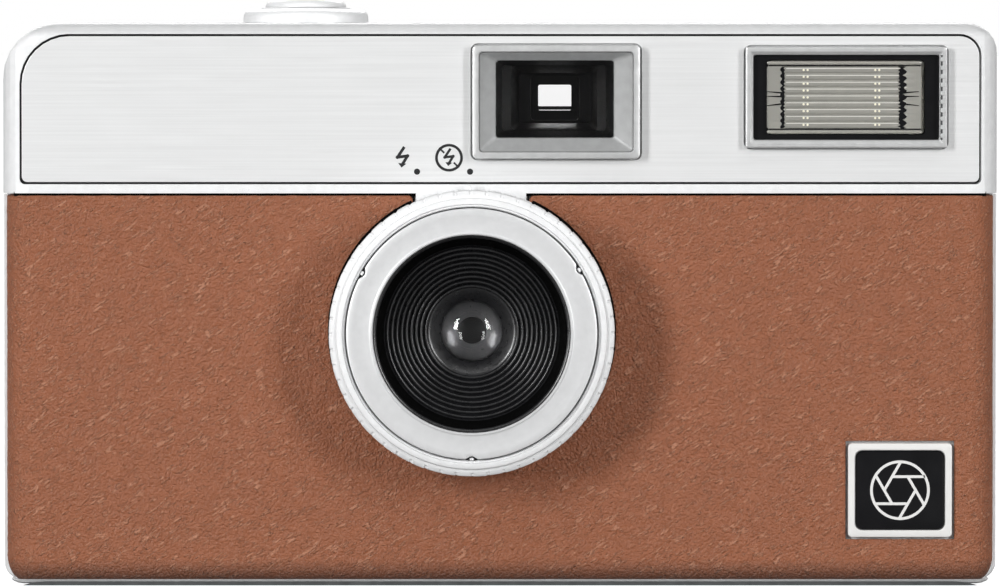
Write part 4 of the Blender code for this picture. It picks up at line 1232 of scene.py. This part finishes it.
# Name, place in metres, width, height and watts.
LAMPS = [
    ("left_softbox", (-0.72, -0.86, 0.30), 0.22, 0.5, 9.0),
    ("right_softbox", (0.70, -0.86, 0.30), 0.22, 0.5, 6.2),
    ("left_edge_light", (-0.9, -0.12, 0.05), 0.1, 0.5, 1.2),
    ("right_edge_light", (0.9, -0.12, 0.05), 0.1, 0.5, 0.8),
    ("top_softbox", (0.0, -0.35, 1.1), 1.2, 0.8, 1.1),
    ("top_strip", (0.0, -0.58, 0.96), 1.1, 0.07, 0.9),
    ("back_softbox", (0.0, 1.1, 0.8), 1.2, 0.6, 14.0),
]


def softbox(name, place, width, height, power, aim):
    """A rectangular lamp that faces a point. It lights and reflects, and isn't seen itself."""
    data = bpy.data.lights.new(name, "AREA")
    data.shape = "RECTANGLE"
    data.size = width
    data.size_y = height
    data.energy = power
    lamp = placed(name, data)
    lamp.location = place
    lamp.rotation_euler = (Vector(aim) - Vector(place)).to_track_quat("-Z", "Y").to_euler()
    lamp.visible_camera = False


def studio():
    """Soft light from both sides and above, and a bright wall behind."""
    aim = (0.0, FRONT * MM, LENS.z * MM)
    for lamp in LAMPS:
        softbox(*lamp, aim)


def seen_directly(owner):
    """1 for rays from the camera, straight or through clear pieces, and 0 for the rest."""
    rays = add(owner, "LightPath").outputs
    through = combined(owner, "SUBTRACT", rays["Is Transmission Ray"], rays["Glossy Depth"])
    return combined(owner, "MAXIMUM", rays["Is Camera Ray"], through)


def sky():
    """A white room: full white where it is seen, softer where it lights."""
    world = bpy.data.worlds.new("white_room")
    bpy.context.scene.world = world
    world.use_nodes = True
    white = (1, 1, 1, 1)
    lighting = add(world, "Background", Color=white, Strength=0.2)
    seen = add(world, "Background", Color=white, Strength=1.0)
    mix = add(world, "MixShader")
    for socket, output in enumerate((seen_directly(world), lighting.outputs[0], seen.outputs[0])):
        wire(world, output, mix.inputs[socket])
    wire(world, mix.outputs[0], world.node_tree.nodes["World Output"].inputs["Surface"])


def floor():
    """A wide white light table."""
    shape = bmesh.new()
    bmesh.ops.create_circle(shape, cap_ends=True, segments=96, radius=9.0)
    mesh = mesh_of("floor", shape)
    made = surface("white_table", (0.2, 0.2, 0.2), 0.6, Emission_Color=(1, 1, 1, 1))
    vary_roughness(made, pattern(made, 40.0), 0.5, 0.7)
    wire(made, seen_directly(made), shader_of(made).inputs["Emission Strength"])
    mesh.materials.append(made)
    obj = placed("floor", mesh)
    obj.location.z = (BODY_LOW.z - 0.25) * MM


def camera():
    """A long lens in front, a little above level, framed on the casing."""
    data = bpy.data.cameras.new("camera")
    data.lens = 300
    data.sensor_width = 36
    data.clip_end = 50
    view_width = 110.44
    distance = view_width * MM * data.lens / data.sensor_width
    pitch = math.radians(2.0)
    aim = Vector((0, FRONT * MM, 0.0322))
    obj = placed("camera", data)
    obj.location = aim + Vector((0, -math.cos(pitch), math.sin(pitch))) * distance
    obj.rotation_euler = (math.pi / 2 - pitch, 0, 0)
    bpy.context.scene.camera = obj


# ---------------------------------------------------------------- the whole camera

REFINED = {
    "top_cover": 0.15,
    "front_cover": 0.22,
    "face_plate": 0.1,
    "back_door": 0.15,
    "door_latch": 0.1,
    "advance_wheel": 0.12,
    "battery_door": 0.1,
    "rewind_base": 0.12,
    "rewind_handle": 0.1,
    "rewind_release": 0.1,
    "counter_window": 0.1,
    "main_chassis": 0.1,
    "pressure_plate": 0.1,
    "lens_barrel": 0.1,
    "ready_lamp": 0.15,
}


def main():
    for node, obj in frame["nodes"].items():
        obj.data.materials[0] = FINISHES[SLOT_OF[node]]
    # Painted shade: the shutter blade is made lightless, so the aperture hole shows as shade.
    frame["nodes"]["shutter_blade"].data.materials[0] = FINISHES["painted_shade_black"]
    frame["nodes"]["button_spring"].data.materials[0] = FINISHES["button_paint"]
    for node, width in REFINED.items():
        refined(node, width, "top_paint_painted_shade" if node == "top_cover" else None)
    front_hide()
    back_hide()
    leather_seams()
    casing_lip()
    base_edge()
    strap_recess()
    switch_ring()
    trim_ring()
    cone()
    lens_glass()
    finder()
    eyepiece()
    flash_window()
    badge()
    plate_gap_shade()
    switch_marks()
    release_button()
    counter_numbers()
    studio()
    sky()
    floor()
    camera()
    bpy.context.scene.view_settings.view_transform = "Standard"


main()
